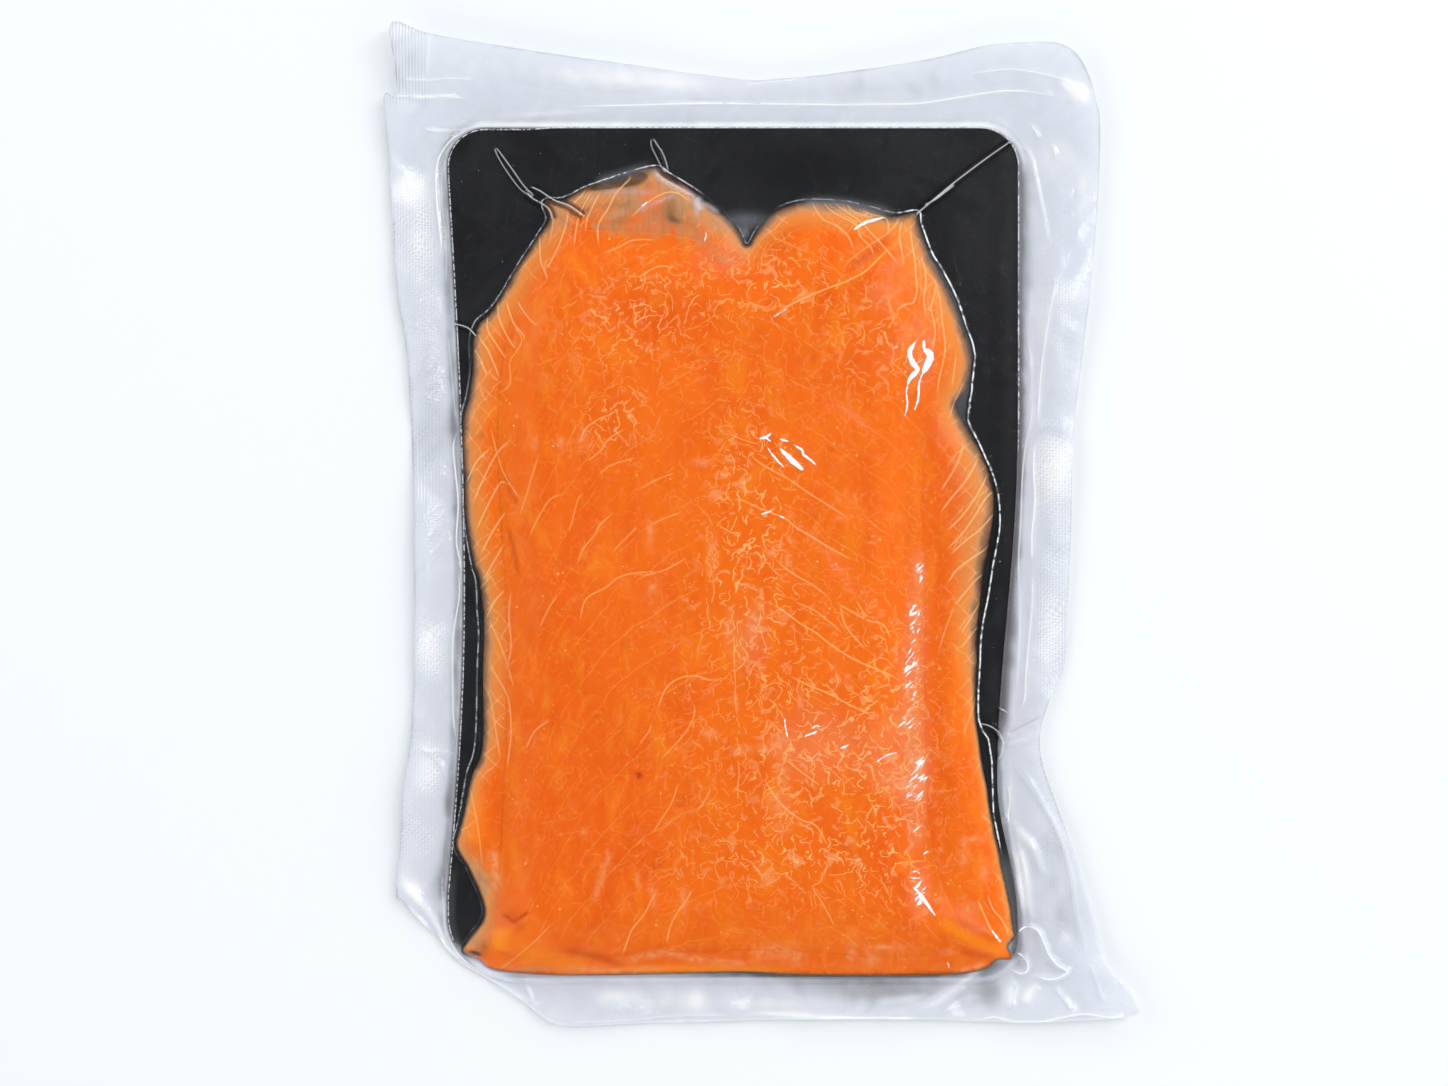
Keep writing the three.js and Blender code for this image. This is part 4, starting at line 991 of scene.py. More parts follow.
# Shares of the flesh by place. Each spot is strength, middle, half sizes and turn.
fleshPlaces = {
    "wide": [(0.42, (66, 8), (12, 22)), (0.35, (24, 92), (26, 8)), (0.7, (-28, 99.5), (12, 3), 12),
             (-0.45, (3, 79), (10, 5))],
    "thick": [(1, (-20.5, 90.6), (3.4, 3.2)), (1, (-9.6, 85.3), (2.4, 2.2)), (1, (-25.6, 87), (3, 1.6), 10),
              (1, (-35.6, 88.6), (3.4, 1.8), -30), (1, (-4, 81.5), (3.4, 2.4), -40)],
    "thin": [(1, (24, 91.5), (20, 2.2), -2), (1, (-46, 88), (4, 4), 30), (1, (-66.6, -85.6), (8, 2.8), -64),
             (1, (-67.6, -101.6), (5.4, 2.4), 52), (0.3, (63, 5), (5, 24)), (0.5, (-54, -109.4), (10, 1))],
    "darkThin": [
        (0.62, (-24.5, 96.4), (6.5, 1.6), 8), (0.62, (-28.6, 98.8), (9, 1.5), 12),
        (0.62, (-65, -103), (1.6, 2.4), -20), (0.62, (-12.6, 95.4), (5, 1), -32),
        (0.62, (14.5, 89.6), (4.4, 1.2), 20), (0.62, (-16.4, 90), (2.2, 3.6)),
        (0.62, (-13.5, 86.4), (4.6, 1.7), -12), (0.62, (-38.5, 89.6), (2.6, 1.4), -30),
        (0.62, (-31.5, 90.8), (4.6, 1.0), 4), (0.62, (-29, 86.6), (3, 1), 10),
        (1.2, (-33.4, 96), (5.6, 1.2), 11), (1.2, (-26.6, 98), (5, 1.2), 12),
        (1.2, (-17, 98.6), (3.4, 0.7), -30), (1.2, (-67.8, -105), (2.2, 0.8), -18)],
    "busy": [(1, (4, 14), (10, 26)), (1, (4, -14), (12, 14)), (1, (22, -50), (26, 26), 20),
             (1, (42, -52), (8, 34)), (1, (12, 70), (16, 10)), (1, (38, 54), (10, 12), -30),
             (1, (-24, 62), (18, 12), 20), (1, (16, -80), (26, 8)), (1, (-30, 34), (9, 6), 30)],
    # the strip down the valley right of the top slice, at x 53, is painted shade in that groove
    "deep": [(0.8, (53, -20), (3.5, 60)), (0.8, (-42, -10), (13, 66), 4), (0.8, (-35, 66), (16, 9), -20),
             (0.8, (-16, 60), (12, 8)), (0.8, (55.5, 20), (4, 26), 10), (0.8, (-34, -60), (24, 34)),
             (0.8, (31, 70), (14, 2.6), 38), (0.8, (20, 48), (18, 8)), (0.8, (40, -76), (14, 18)),
             (0.8, (0, -106), (52, 3.5)), (0.8, (2, 72), (10, 7)), (0.8, (-42, -78), (18, 16)),
             (0.8, (66, -30), (5, 60))],
}


def shareOf(name):
    return lambda xy: np.clip(spread(xy, fleshPlaces[name]), 0, 1)


# How far the flesh has thinned out towards its edge, wide on the bulges and narrow at the foot.
def fadeDepth(xy):
    wide = 0.95 + spread(xy, fleshPlaces["wide"])
    wide -= 0.62 * zone(xy, [(20, 50)], [(-24, -46)]) + 0.5 * zone(xy, [(-20, -50)], [(-40, -70)])
    wide *= 1 - 0.86 * smooth(xy[:, 1], -101, -106.5)
    return np.clip(depthIn(xy, salmonLoop, 16) / wide, -1, 12)


# Thin flesh that the black card greys, but for the thicker lumps in it and the notch beside it.
def thinShare(xy):
    ragged = 0.9 * softNoise(xy, 3.4, 51) + 0.5 * softNoise(xy, 1.6, 52)
    lobe = smooth(depthIn(xy, lobeLoop, 5) + ragged, -1.6, 1.6)
    lobe *= 1 - 0.55 * shareOf("thick")(xy)
    lobe *= 1 - 0.85 * patch(xy, (-1, 79), (8, 4))
    return np.clip(lobe + spread(xy, fleshPlaces["thin"]), 0, 1)


def deepShare(xy):
    return np.clip(spread(xy, fleshPlaces["deep"]) + 0.2 * softNoise(xy, 30, 31), 0, 1)


def paleShare(xy):
    return softLines(xy, paleBands) + 0.6 * sum(patch(xy, *spot) for spot in paleSpots)


fleshValues = {
    "grain": archGrain, "fade": fadeDepth, "thinShare": thinShare, "darkThin": shareOf("darkThin"),
    "busyShare": shareOf("busy"), "deepShare": deepShare, "paleShare": paleShare,
    "slantUp": lambda xy: (xy[:, 0] - xy[:, 1]) * 0.707,
    "slantDown": lambda xy: (xy[:, 0] + xy[:, 1]) * 0.707,
    "edgeSide": lambda xy: besideLines(xy, edgeLines)[0],
    "edgeShare": lambda xy: besideLines(xy, edgeLines)[1],
    "lineSide": lambda xy: besideLines(xy, fleshLines)[0],
    "lineShare": lambda xy: besideLines(xy, fleshLines)[1],
    "darkMarkAndShadeShare": lambda xy: softLines(xy, darkMarksAndShade),
    "brightAndHighlightShare": lambda xy: softLines(xy, brightAndHighlightBands),
}

upperSlice = closedPiece("topSlice", upperLoop, upperPlan, upperBottom, upperTop,
                         lambda xy: lowerFlesh(xy) + slices["gap"] / 2, fleshValues)
lowerSlice = closedPiece("lowerSlices", salmonLoop, lowerPlan, lowerBottom, lowerFlesh,
                         lambda xy: np.full(len(xy), slices["base"]), fleshValues)
print("slices made")


def cardBoardPiece():
    inner = boardLoop - outward * board["bevel"]
    (topXy, topFaces), (lowXy, lowFaces) = planOf(inner, 4.0), planOf(inner, 12.0)
    shift, sides = len(topXy), len(topXy) + len(lowXy)
    layers = [(topXy, board["top"]), (lowXy, board["bottom"]),
              (boardLoop, board["top"] - board["bevel"]), (boardLoop, board["bottom"] + board["bevel"])]
    points = np.vstack([np.column_stack([xy, np.full(len(xy), height)]) for xy, height in layers])
    rim = np.arange(len(inner))
    rings = [rim, rim + sides, rim + sides + len(inner), rim + shift]
    walls = [wallBetween(upper, lower) for upper, lower in zip(rings, rings[1:])]
    wetAndPaintedGleam = spread(points[:, :2], [(1, (21, 101), (20, 8)), (0.6, (66, 40), (8, 40))])
    return meshPiece("cardBoard", points, np.vstack([topFaces, lowFaces[:, ::-1] + shift, *walls]),
                     {"wetAndPaintedGleam": wetAndPaintedGleam})


cardBoard = cardBoardPiece()

# What is painted on the film: milkiness, paler and greyer places that are partly its own and partly painted
# glare and painted shade, creases, painted gleams and embossing. Broad folds only change the tone, paler as
# a painted highlight and greyer as painted shade, and narrower ones are drawn as lines.
broadFold = 0.8

# Bands that follow the board's rim, painted highlight (+) and painted shade (-): how pale or grey, distance
# from the rim, half width, how far it wanders, and its limits across and up the plan.
rimBands = [
    (0.2, 3.4, 0.9, 0.3, [(66, 71)], [(-108, -104)]),
    (-0.85, 0, 1.3, 0.3, [(66, 71)], [(-108, -104)]),
    (-0.6, 1.3, 1.4, 0.3, [(-66, -70)], [(-104, -96), (-94, -84)]),
    (0.3, 0.8, 0.8, 0, [], [(-105, -109)]),
    (0.75, 0.9, 0.9, 0, [], [(107, 111)]),
]


# The shade that the board throws on the film at the right and at the foot: how dark, how soon it fades.
boardShade = {"right": (0.2, 3), "foot": (1.2, 1.9), "footMiddle": (30, -112.5), "footSize": (30, 30)}


def filmTone(xy):
    outside = -depthIn(xy, boardLoop, 12)
    wander = softNoise(xy, 11, 43)
    tone = spread(xy, toneSpots) + 0.1 * softNoise(xy, 24, 41) + 0.06 * softNoise(xy, 7, 42)
    for _, width, white, line in marginFolds:
        if width >= broadFold:
            away, along = nearLine(xy, line, width * 2)
            tone += white * fadeEnds(along, 0.3) * bell(away, 0.75 * width)
    for pale, middle, width, wandering, across, up in rimBands:
        tone += pale * zone(xy, across, up) * bell(outside + wandering * wander, width, middle)
    dark, run = boardShade["right"]
    tone -= dark * zone(xy, [(66, 71)], [(-108, -104)]) * np.exp(-outside / run)
    dark, run = boardShade["foot"]
    foot = zone(xy, [], [(-105, -109)]) * patch(xy, boardShade["footMiddle"], boardShade["footSize"])
    return np.clip(tone - dark * foot * np.exp(-outside / run), -1, 1)


# The film's dim side where it leaves the board's right rim. It is wider and fainter in places: by how
# much, where that starts and where it is full. It wanders by a noise of some height, size and seed.
duskForm = {
    "reach": 3.0, "wider": [(2.2, 60, 74), (0.9, -8, -24)], "fainter": (0.45, 50, 72), "softShare": 0.75,
    "across": [(60, 66)], "up": [(-50, -42), (104, 98)], "wander": (0.3, 9, 45),
}


def duskShare(xy):
    d = duskForm
    y = xy[:, 1]
    wander, size, seed = d["wander"]
    outside = -depthIn(xy, boardLoop, 12) + wander * softNoise(xy, size, seed)
    reach = d["reach"] + sum(more * smooth(y, start, full) for more, start, full in d["wider"])
    less, start, full = d["fainter"]
    strength = zone(xy, d["across"], d["up"]) * (1 - less * smooth(y, start, full))
    return strength * smooth(reach - outside, 0, d["softShare"] * reach)


def creaseValues(xy):
    thin = [(white, line) for _, width, white, line in marginFolds if width < broadFold]
    side, share = besideLines(xy, [(white, line) for white, line in thin if white > 0], 1.3)
    greySide, greyShare = besideLines(xy, [(-white, line) for white, line in thin if white < 0], 1.3)
    return {"creaseSide": side, "creaseShare": share, "greySide": greySide, "greyShare": greyShare}


# Where the white contact line, a painted highlight on the film's crease by the fish, is faint: how much of
# it is gone, and limits across and up the plan.
faintZones = [
    (0.85, [], [(-98, -106)]), (0.8, [(50, 60)], [(-74, -80)]), (0.8, [(-60, -62)], [(-76, -80)]),
    (0.9, [(-9.5, -7.5), (13.5, 11)], [(85, 87)]),
]
faintSpots = [(0.75, (-68, 49), (14, 8)), (1, (-26, 99.4), (1.3, 1.6))]

# Milky places of the front film: strength, middle, half sizes and turn.
milkySpots = [
    (0.14, (3.4, 87.2), (6, 2)), (0.2, (3.2, 84), (1.1, 1.6)), (0.4, (73.6, -103.2), (0.7, 1.3), 20),
    (0.34, (-66.5, -108), (3.6, 1.2), -35),
]
# Where the film is milky right up to the fish: how much, and limits across and up the plan.
milkyZones = [
    (0.55, [(40, 50)], [(-76, -84)]), (0.75, [(-71, -65)], [(-104, -107)]),
    (1, [(58, 63)], [(-98.5, -102)]),
]
# How milky the film is: over the fish, over the margin, more along its rim, and under the board.
filmCover = {"clear": 0.004, "margin": 0.66, "rim": 0.15, "under": 0.3}
foldLook = {
    "broad": 0.7, "broadLine": 0.38, "fineLine": 0.6, "reach": 1.5, "broadShade": 0.85, "fineShade": 0.7,
    "shadeAway": 0.75, "shadeWidth": 0.35, "contactShade": 0.6, "contactAway": 0.65,
}


def contactShare(xy, onRight, onLeft):
    share = 0.3 + 0.6 * onRight + 0.1 * onLeft + 0.45 * patch(xy, (-26, 99), (22, 8), 12)
    for gone, across, up in faintZones:
        share *= 1 - gone * zone(xy, across, up)
    for gone, middle, size in faintSpots:
        share *= 1 - gone * patch(xy, middle, size)
    return share


# The painted highlight lines that outline the folds of the front film, and the painted shade beside them
# and the contact line.
def foldValues(xy, inContact, inSalmon):
    look = foldLook
    foldEdge, foldShare, shade = np.full(len(xy), look["reach"]), np.zeros(len(xy)), np.zeros(len(xy))
    for _, width, line in filmFolds:
        broad = width > look["broad"]
        away, along = nearLine(xy, line, width * 2 + look["reach"])
        ends = fadeEnds(along, 0.06)
        gap = away - pointedWidth(width, along) if broad else away
        closer = np.abs(gap) < np.abs(foldEdge)
        foldEdge = np.where(closer, gap, foldEdge)
        foldShare = np.where(closer, look["broadLine" if broad else "fineLine"] * ends, foldShare)
        dim = look["fineShade"] * bell(away, look["shadeWidth"], look["shadeAway"])
        if broad:
            dim = look["broadShade"] * smooth(-gap, -0.4, 0.2)
        shade = np.maximum(shade, ends * dim)
    dim = look["contactShade"] * bell(inContact, look["shadeWidth"], look["contactAway"])
    return foldEdge, foldShare, np.maximum(shade, dim * smooth(inSalmon, 1.5, 0))


def frontValues(xy):
    inBoard, inContact = depthIn(xy, boardLoop, 3), depthIn(xy, contactLoop, 3)
    inSalmon = depthIn(xy, salmonLoop, 8)
    x, y = xy.T
    onRight, onLeft = smooth(x, 40, 50), smooth(x, -45, -55)
    foldEdge, foldShare, shade = foldValues(xy, inContact, inSalmon)
    # past the board's rim, and right up to the fish where it reaches that rim
    close = np.max([most * zone(xy, across, up) for most, across, up in milkyZones], axis=0)
    beyond = np.maximum(smooth(inBoard, 0.05, -0.5), close * smooth(inSalmon, 0.4, -0.1))
    cover = filmCover["clear"] + filmCover["margin"] * beyond
    cover += softLines(xy, filmWebs) + spread(xy, milkySpots)
    cover += 0.1 * onRight * smooth(y, 24, 44) * smooth(inContact, 0.5, 1.1) * smooth(inSalmon, 0.9, -0.3)
    corner = zone(xy, [(-56, -62)], [(-80, -90)]) * smooth(inSalmon, 0, -0.6)
    rimMilk = 0.35 * smooth(y, -101, -105) * smooth(inBoard, 1.6, 0.8)
    cover += corner * (0.05 * smooth(inBoard, 2.8, 1.2) + rimMilk)
    creases = creaseValues(xy)
    for share in ("creaseShare", "greyShare"):
        creases[share] *= smooth(inBoard, 0, -0.6)
    # how strong the painted highlight along the board's rim is
    rim = 0.75 - 0.5 * onRight * smooth(y, 36, 22) - 0.1 * onLeft - 0.4 * smooth(y, -100, -106)
    return {"cover": cover, "shade": shade, "tone": filmTone(xy), "foldEdge": foldEdge,
            "foldShare": foldShare, "fromContact": inContact,
            "contactShare": contactShare(xy, onRight, onLeft),
            "fromRim": inBoard + 0.2 - 0.55 * onLeft, "rimShare": np.clip(rim, 0.1, 1),
            "dusk": duskShare(xy) * smooth(inBoard, 0.1, -0.3), **creases,
            "paintedGlintEdge": pointedLines(xy, paintedGlints), "paintedSparkle": np.clip(1.5 * spread(xy, paintedSparkles), 0, 1)}


def marginValues(xy):
    y = xy[:, 1]
    outside, inPouch = -depthIn(xy, clingLoop, 20), depthIn(xy, pouchLoop, 20)
    creases = creaseValues(xy)
    rim = bell(inPouch, 0.5)
    foot = np.maximum(smooth(y, -100, -112), zone(xy, [(84, 92)], [(-60, -80)]))
    tone = filmTone(xy) + rim * (0.5 * foot - 0.45 * (1 - foot))
    offBoard = smooth(outside, 1.5, 3)
    flat = np.maximum(zone(xy, [(-75, -77), (84, 82)]), zone(xy, [(78, 81), (91, 87)]))
    emboss = 0.3 * flat * zone(xy, [], [(96, 86), (-104, -92)]) * (1 + 0.5 * softNoise(xy, 16, 44))
    emboss = np.clip(emboss + spread(xy, embossSpots), 0, 1) * offBoard
    ribs = zone(xy, [(-79, -80.5), (-78, -81)], [(116, 119)])
    faint = 0.5 * patch(xy, (-80, 22), (6, 24)) + 0.12 * zone(xy, [(80, 84)], [(-60, -80)])
    ribs = np.maximum(ribs, faint) * offBoard
    values = {"emboss": emboss, "ribs": ribs, "dusk": duskShare(xy), "creaseShare": creases["creaseShare"],
              "greyShare": creases["greyShare"]}
    # under the board the film is plain
    under = outside < -0.05
    values = {label: np.where(under, 0, value) for label, value in values.items()}
    cover = np.where(under, filmCover["under"], filmCover["margin"] + filmCover["rim"] * rim)
    return {**creases, **values, "cover": cover, "tone": np.clip(tone, -1, 1)}


frontXy, frontFaces = frontPlan
frontFilm = meshPiece("frontFilm", np.column_stack([frontXy, filmHeight(frontXy)]), frontFaces,
                      frontValues(frontXy))
marginXy, marginFaces = marginPlan
underBoard = depthIn(marginXy, clingLoop, 4) > 0.05
marginZ = np.where(underBoard, marginForm["lowest"], marginHeight(marginXy))
marginFilm = meshPiece("marginFilm", np.column_stack([marginXy, marginZ]), marginFaces,
                       marginValues(marginXy))
print("film made")


# What comes out of a shader node. It adds, subtracts, multiplies and divides as a number does.
class Value:
    def __init__(self, socket):
        self.socket = socket
        self.tree = socket.id_data

    def __add__(self, other):
        return reckon("ADD", self, other)

    def __sub__(self, other):
        return reckon("SUBTRACT", self, other)

    def __rsub__(self, other):
        return reckon("SUBTRACT", other, self)

    def __mul__(self, other):
        return reckon("MULTIPLY", self, other)

    def __truediv__(self, other):
        return reckon("DIVIDE", self, other)


def reckon(operation, a, b=0.0, clamp=False):
    tree = (a if isinstance(a, Value) else b).tree
    return add(tree, "Math", {0: a, 1: b}, operation=operation, use_clamp=clamp)


def largest(first, *others):
    for other in others:
        first = reckon("MAXIMUM", first, other)
    return first


# Sets the inputs of a node, or links them to what comes out of other nodes.
def fill(node, inputs):
    for label, value in inputs.items():
        if isinstance(value, Value):
            node.id_data.links.new(value.socket, node.inputs[label])
        else:
            node.inputs[label].default_value = value


def add(tree, kind, inputs, output=0, **settings):
    made = tree.nodes.new("ShaderNode" + kind)
    for name, value in settings.items():
        setattr(made, name, value)
    fill(made, inputs)
    return Value(made.outputs[output])


def remap(value, low, high, toLow=0.0, toHigh=1.0):
    limits = {"Value": value, "From Min": low, "From Max": high, "To Min": toLow, "To Max": toHigh}
    return add(value.tree, "MapRange", limits, "Result", interpolation_type="SMOOTHSTEP")


def blend(share, a, b):
    return add(share.tree, "Mix", {0: share, 6: a, 7: b}, 2, data_type="RGBA")


def noise(place, scale, detail=2.0, roughness=0.5, distortion=0.0):
    inputs = {"Vector": place, "Scale": scale, "Detail": detail, "Roughness": roughness,
              "Distortion": distortion}
    return add(place.tree, "TexNoise", inputs, "Fac")


def mapped(place, scale=(1, 1, 1), turn=0.0):
    return add(place.tree, "Mapping", {"Vector": place, "Scale": scale, "Rotation": (0, 0, turn)})


def split(vector):
    across = add(vector.tree, "SeparateXYZ", {"Vector": vector})
    return [Value(socket) for socket in across.socket.node.outputs]


def attribute(tree, name):
    return add(tree, "Attribute", {}, "Fac", attribute_name=name)


def bumped(height, strength, distance):
    return add(height.tree, "Bump", {"Height": height, "Strength": strength, "Distance": distance})


# A node group with one output. An input without a number is a place.
def makeGroup(name, output, inputs, work):
    tree = bpy.data.node_groups.new(name, "ShaderNodeTree")
    for label, value in inputs.items():
        kind = "NodeSocketVector" if value is None else "NodeSocketFloat"
        socket = tree.interface.new_socket(label, in_out="INPUT", socket_type=kind)
        if value is not None:
            socket.default_value = value
    tree.interface.new_socket(output, in_out="OUTPUT", socket_type="NodeSocketFloat")
    given = tree.nodes.new("NodeGroupInput").outputs
    fill(tree.nodes.new("NodeGroupOutput"), {output: work(*[Value(given[label]) for label in inputs])})
    return tree


def useGroup(tree, group, inputs):
    return add(tree, "Group", inputs, node_tree=group)


def startMaterial(name):
    material = bpy.data.materials.new(name)
    material.use_nodes = True
    return material, material.node_tree


def placeInMm(tree):
    return mapped(add(tree, "TexCoord", {}, "Object"), (1000, 1000, 1000))


# Lines of fat: thin pale bands along the grain that wander and break off.
def fatLineMask(across, place, spacing, width, wander, missing):
    drift = noise(place, 0.07, 3) - 0.5
    shiver = noise(place, 0.6, 2) - 0.5
    turn = reckon("FRACT", (across + drift * wander + shiver * 0.9) / spacing)
    offLine = reckon("ABSOLUTE", turn - 0.5) * spacing
    whole = remap(noise(place, 0.13, 2), missing, missing + 0.14)
    return (1.0 - remap(offLine, 0.0, width)) * whole


# Short curved strands, each in its own direction, where the flesh has torn and the film has pressed it.
def strandMask(place, density, length, width, bend, turn, missing):
    tree = place.tree
    swirl = add(tree, "TexNoise", {"Vector": place, "Scale": 0.3, "Detail": 2.0}, "Color")
    bent = add(tree, "VectorMath", {0: swirl, 1: (4.5, 4.5, 0), 2: place}, operation="MULTIPLY_ADD")
    cell = add(tree, "TexVoronoi", {"Vector": bent, "Scale": density, "Randomness": 1.0}, "Color",
               voronoi_dimensions="2D")
    middle = Value(cell.socket.node.outputs["Position"])
    fromMiddle = add(tree, "VectorMath", {0: bent, 1: middle}, operation="SUBTRACT")
    angleChance, bendChance, missingChance = split(cell)
    turned = add(tree, "VectorRotate", {"Vector": fromMiddle, "Angle": angleChance * turn},
                 rotation_type="Z_AXIS")
    along, across, _ = split(turned)
    bow = along * along * ((bendChance - 0.5) * bend)
    onLine = 1.0 - remap(reckon("ABSOLUTE", across + bow), 0.0, width)
    pastEnd = remap(reckon("ABSOLUTE", along), length * 0.6, length)
    return onLine * (1.0 - pastEnd) * reckon("GREATER_THAN", missingChance, missing)


# A drawn line: pale where the distance to its left or right is small.
def drawnMask(side, share, width):
    return (1.0 - remap(reckon("ABSOLUTE", side), width * 0.25, width)) * share


# The small relief of film drawn tight over something wet.
def clingHeight(place, lively):
    return (noise(place, 0.33, 3, 0.55, 0.9) + noise(place, 1.1, 2, 0.5, 0.6) * 0.22) * lively


fatLines = makeGroup("fatLines", "Mask", {"Across": 0.0, "Place": None, "Spacing": 10.0, "Width": 0.4,
                                          "Wander": 3.0, "Missing": 0.4}, fatLineMask)
strands = makeGroup("strands", "Mask", {"Place": None, "Density": 0.2, "Length": 2.0, "Width": 0.2,
                                        "Bend": 0.3, "Turn": 3.1, "Missing": 0.4}, strandMask)
drawnLine = makeGroup("drawnLine", "Mask", {"Side": 0.0, "Share": 0.0, "Width": 0.3}, drawnMask)
clingRelief = makeGroup("clingRelief", "Height", {"Place": None, "Lively": 0.5}, clingHeight)


def drawnBeside(tree, side, share, width):
    return useGroup(tree, drawnLine, {"Side": attribute(tree, side), "Share": attribute(tree, share),
                                      "Width": width})


# glow paints bright orange bands, one of them a painted highlight; mark paints red clouds and dark marks,
# some of them painted shade
fleshColours = {
    "flesh": (243, 112, 20), "deep": (233, 93, 14), "bright": (248, 142, 30), "fat": (252, 160, 72),
    "strand": (255, 186, 112), "veil": (246, 166, 110), "speck": (255, 208, 124), "line": (255, 200, 138),
    "edge": (228, 144, 66), "beige": (196, 146, 104), "brown": (124, 88, 64), "black": (30, 29, 30),
    "mark": (186, 52, 12), "glow": (255, 146, 30), "tan": (140, 92, 56),
}
upperFinish = {"spacing": 11.5, "fatShare": 0.42, "fineSpacing": 3.6, "fineShare": 0.2}
lowerFinish = {"spacing": 10.0, "fatShare": 0.2, "fineSpacing": 3.4, "fineShare": 0.12}
fleshFinish = {
    # colour, its share, whether it is drawn out along the fish, noise, and where it starts and is full
    "clouds": [("bright", 0.45, True, (0.16, 4, 0.6, 0.5), 0.5, 0.74),
               ("fat", 0.3, False, (0.3, 5, 0.65), 0.56, 0.8),
               ("mark", 0.22, False, (0.13, 3, 0.6, 0.4), 0.62, 0.8)],
    "strands": [{"Density": 0.15, "Length": 3.4, "Width": 0.3, "Bend": 0.3, "Missing": 0.3},
                {"Density": 0.24, "Length": 2.2, "Width": 0.26, "Bend": 0.6, "Missing": 0.3},
                {"Density": 0.42, "Length": 1.2, "Width": 0.2, "Bend": 1.2, "Missing": 0.45}],
    "crossings": [("slantUp", 3.6), ("slantDown", 4.3)],
    "shader": {"Specular IOR Level": 0.04, "Subsurface Weight": 0.1, "Subsurface Scale": 1.0,
               "Subsurface Radius": (0.003, 0.001, 0.0004)},
}


def fleshMaterial(name, finish):
    c = {label: linear(colour) for label, colour in fleshColours.items()}
    material, tree = startMaterial(name)
    place = placeInMm(tree)
    upright = mapped(place, (1.0, 0.42, 1.0))
    busy, darkThin = attribute(tree, "busyShare"), attribute(tree, "darkThin")

    def lay(base, over, share, most=1.0):
        return blend(reckon("MULTIPLY", share, most, clamp=True), base, c[over])

    def fatAlong(across, spacing, width, wander, missing):
        return useGroup(tree, fatLines, {"Across": attribute(tree, across), "Place": place, "Width": width,
                                         "Spacing": spacing, "Wander": wander, "Missing": missing})

    deepBy = remap(noise(upright, 0.1, 4, 0.6), 0.44, 0.68) * 0.5 + attribute(tree, "deepShare") * 0.6
    colour = lay(c["flesh"], "deep", deepBy)
    for over, most, drawnOut, cloud, start, full in fleshFinish["clouds"]:
        cloud = noise(upright if drawnOut else place, *cloud)
        colour = lay(colour, over, remap(cloud, start, full), most)
    # milky veils where the fat is smeared
    veil = remap(noise(place, 0.24, 3, 0.5, 1.4), 0.56, 0.65)
    colour = lay(colour, "veil", veil * (busy * 0.5 + 0.05))
    main = fatAlong("grain", finish["spacing"], 0.3, 7.0, 0.38)
    fine = fatAlong("grain", finish["fineSpacing"], 0.22, 9.0, 0.48)
    colour = lay(colour, "fat", main, finish["fatShare"])
    colour = lay(colour, "fat", fine, finish["fineShare"])
    torn = [useGroup(tree, strands, {"Place": place, **values}) for values in fleshFinish["strands"]]
    colour = lay(colour, "strand", largest(*torn) * (busy * 0.8 + 0.14))
    dots = add(tree, "TexVoronoi", {"Vector": place, "Scale": 0.36, "Randomness": 1.0}, "Distance")
    dotSize = remap(noise(place, 0.5, 1), 0.4, 0.75, 0.0, 0.13)
    colour = lay(colour, "speck", reckon("LESS_THAN", dots, dotSize), 0.6)
    # bright orange bands, the one along the fold at the lower right a painted highlight on its ridge
    colour = lay(colour, "glow", attribute(tree, "brightAndHighlightShare"), 0.8)
    # dark marks, some of them painted shade in and below folds
    colour = lay(colour, "mark", attribute(tree, "darkMarkAndShadeShare"))
    ragged = remap(noise(place, 0.55, 3, 0.6), 0.35, 0.6, 0.25, 1.0)
    colour = lay(colour, "veil", attribute(tree, "paleShare") * ragged)
    # thin flaps and edges, where the black card shows through
    fade = attribute(tree, "fade") + (noise(place, 0.22, 3) - 0.5) * 2.2
    colour = lay(colour, "edge", remap(fade, 8.5, 2.8), 0.72)
    blotch = remap(noise(place, 0.16, 3, 0.6, 0.6), 0.42, 0.62, 0.55, 1.0)
    thin = attribute(tree, "thinShare") * blotch
    streaks = remap(noise(mapped(place, (0.9, 0.16, 1)), 1.0, 3), 0.4, 0.7, 0.0, 0.3)
    colour = lay(colour, "beige", thin, 0.95)
    colour = lay(colour, "tan", thin * streaks)
    colour = lay(colour, "tan", darkThin * blotch, 0.9)
    colour = lay(colour, "beige", remap(fade, 3.4, 1.2), 0.8)
    colour = lay(colour, "brown", remap(fade, 2.4, 0.7), 0.88)
    colour = lay(colour, "black", remap(darkThin, 0.55, 0.95), 0.72)
    edgeLine = drawnBeside(tree, "edgeSide", "edgeShare", 0.32)
    midLine = drawnBeside(tree, "lineSide", "lineShare", 0.3)
    colour = lay(colour, "strand", midLine, 0.9)
    nearEdge = remap(fade, 11.0, 6.0) * remap(fade, 0.2, 1.6) * reckon("SUBTRACT", 1.0, thin, clamp=True)
    for side, spacing in fleshFinish["crossings"]:
        crossing = fatAlong(side, spacing, 0.24, 6.0, 0.42)
        colour = lay(colour, "line", crossing * nearEdge, 0.36)
    colour = lay(colour, "line", edgeLine, 0.65)
    colour = lay(colour, "black", remap(fade, 0.9, -0.2), 0.9)
    relief = useGroup(tree, clingRelief, {"Place": place, "Lively": 0.5})
    relief = relief + largest(main, edgeLine, midLine) * 0.12
    fill(tree.nodes["Principled BSDF"], {
        "Base Color": colour, "Normal": bumped(relief, 0.5, 0.0004),
        "Roughness": remap(noise(place, 0.4, 3), 0.3, 0.7, 0.42, 0.6), **fleshFinish["shader"]})
    return material


upperSlice.data.materials.append(fleshMaterial("salmonFlesh", upperFinish))
lowerSlice.data.materials.append(fleshMaterial("salmonEdge", lowerFinish))
print("flesh materials made")

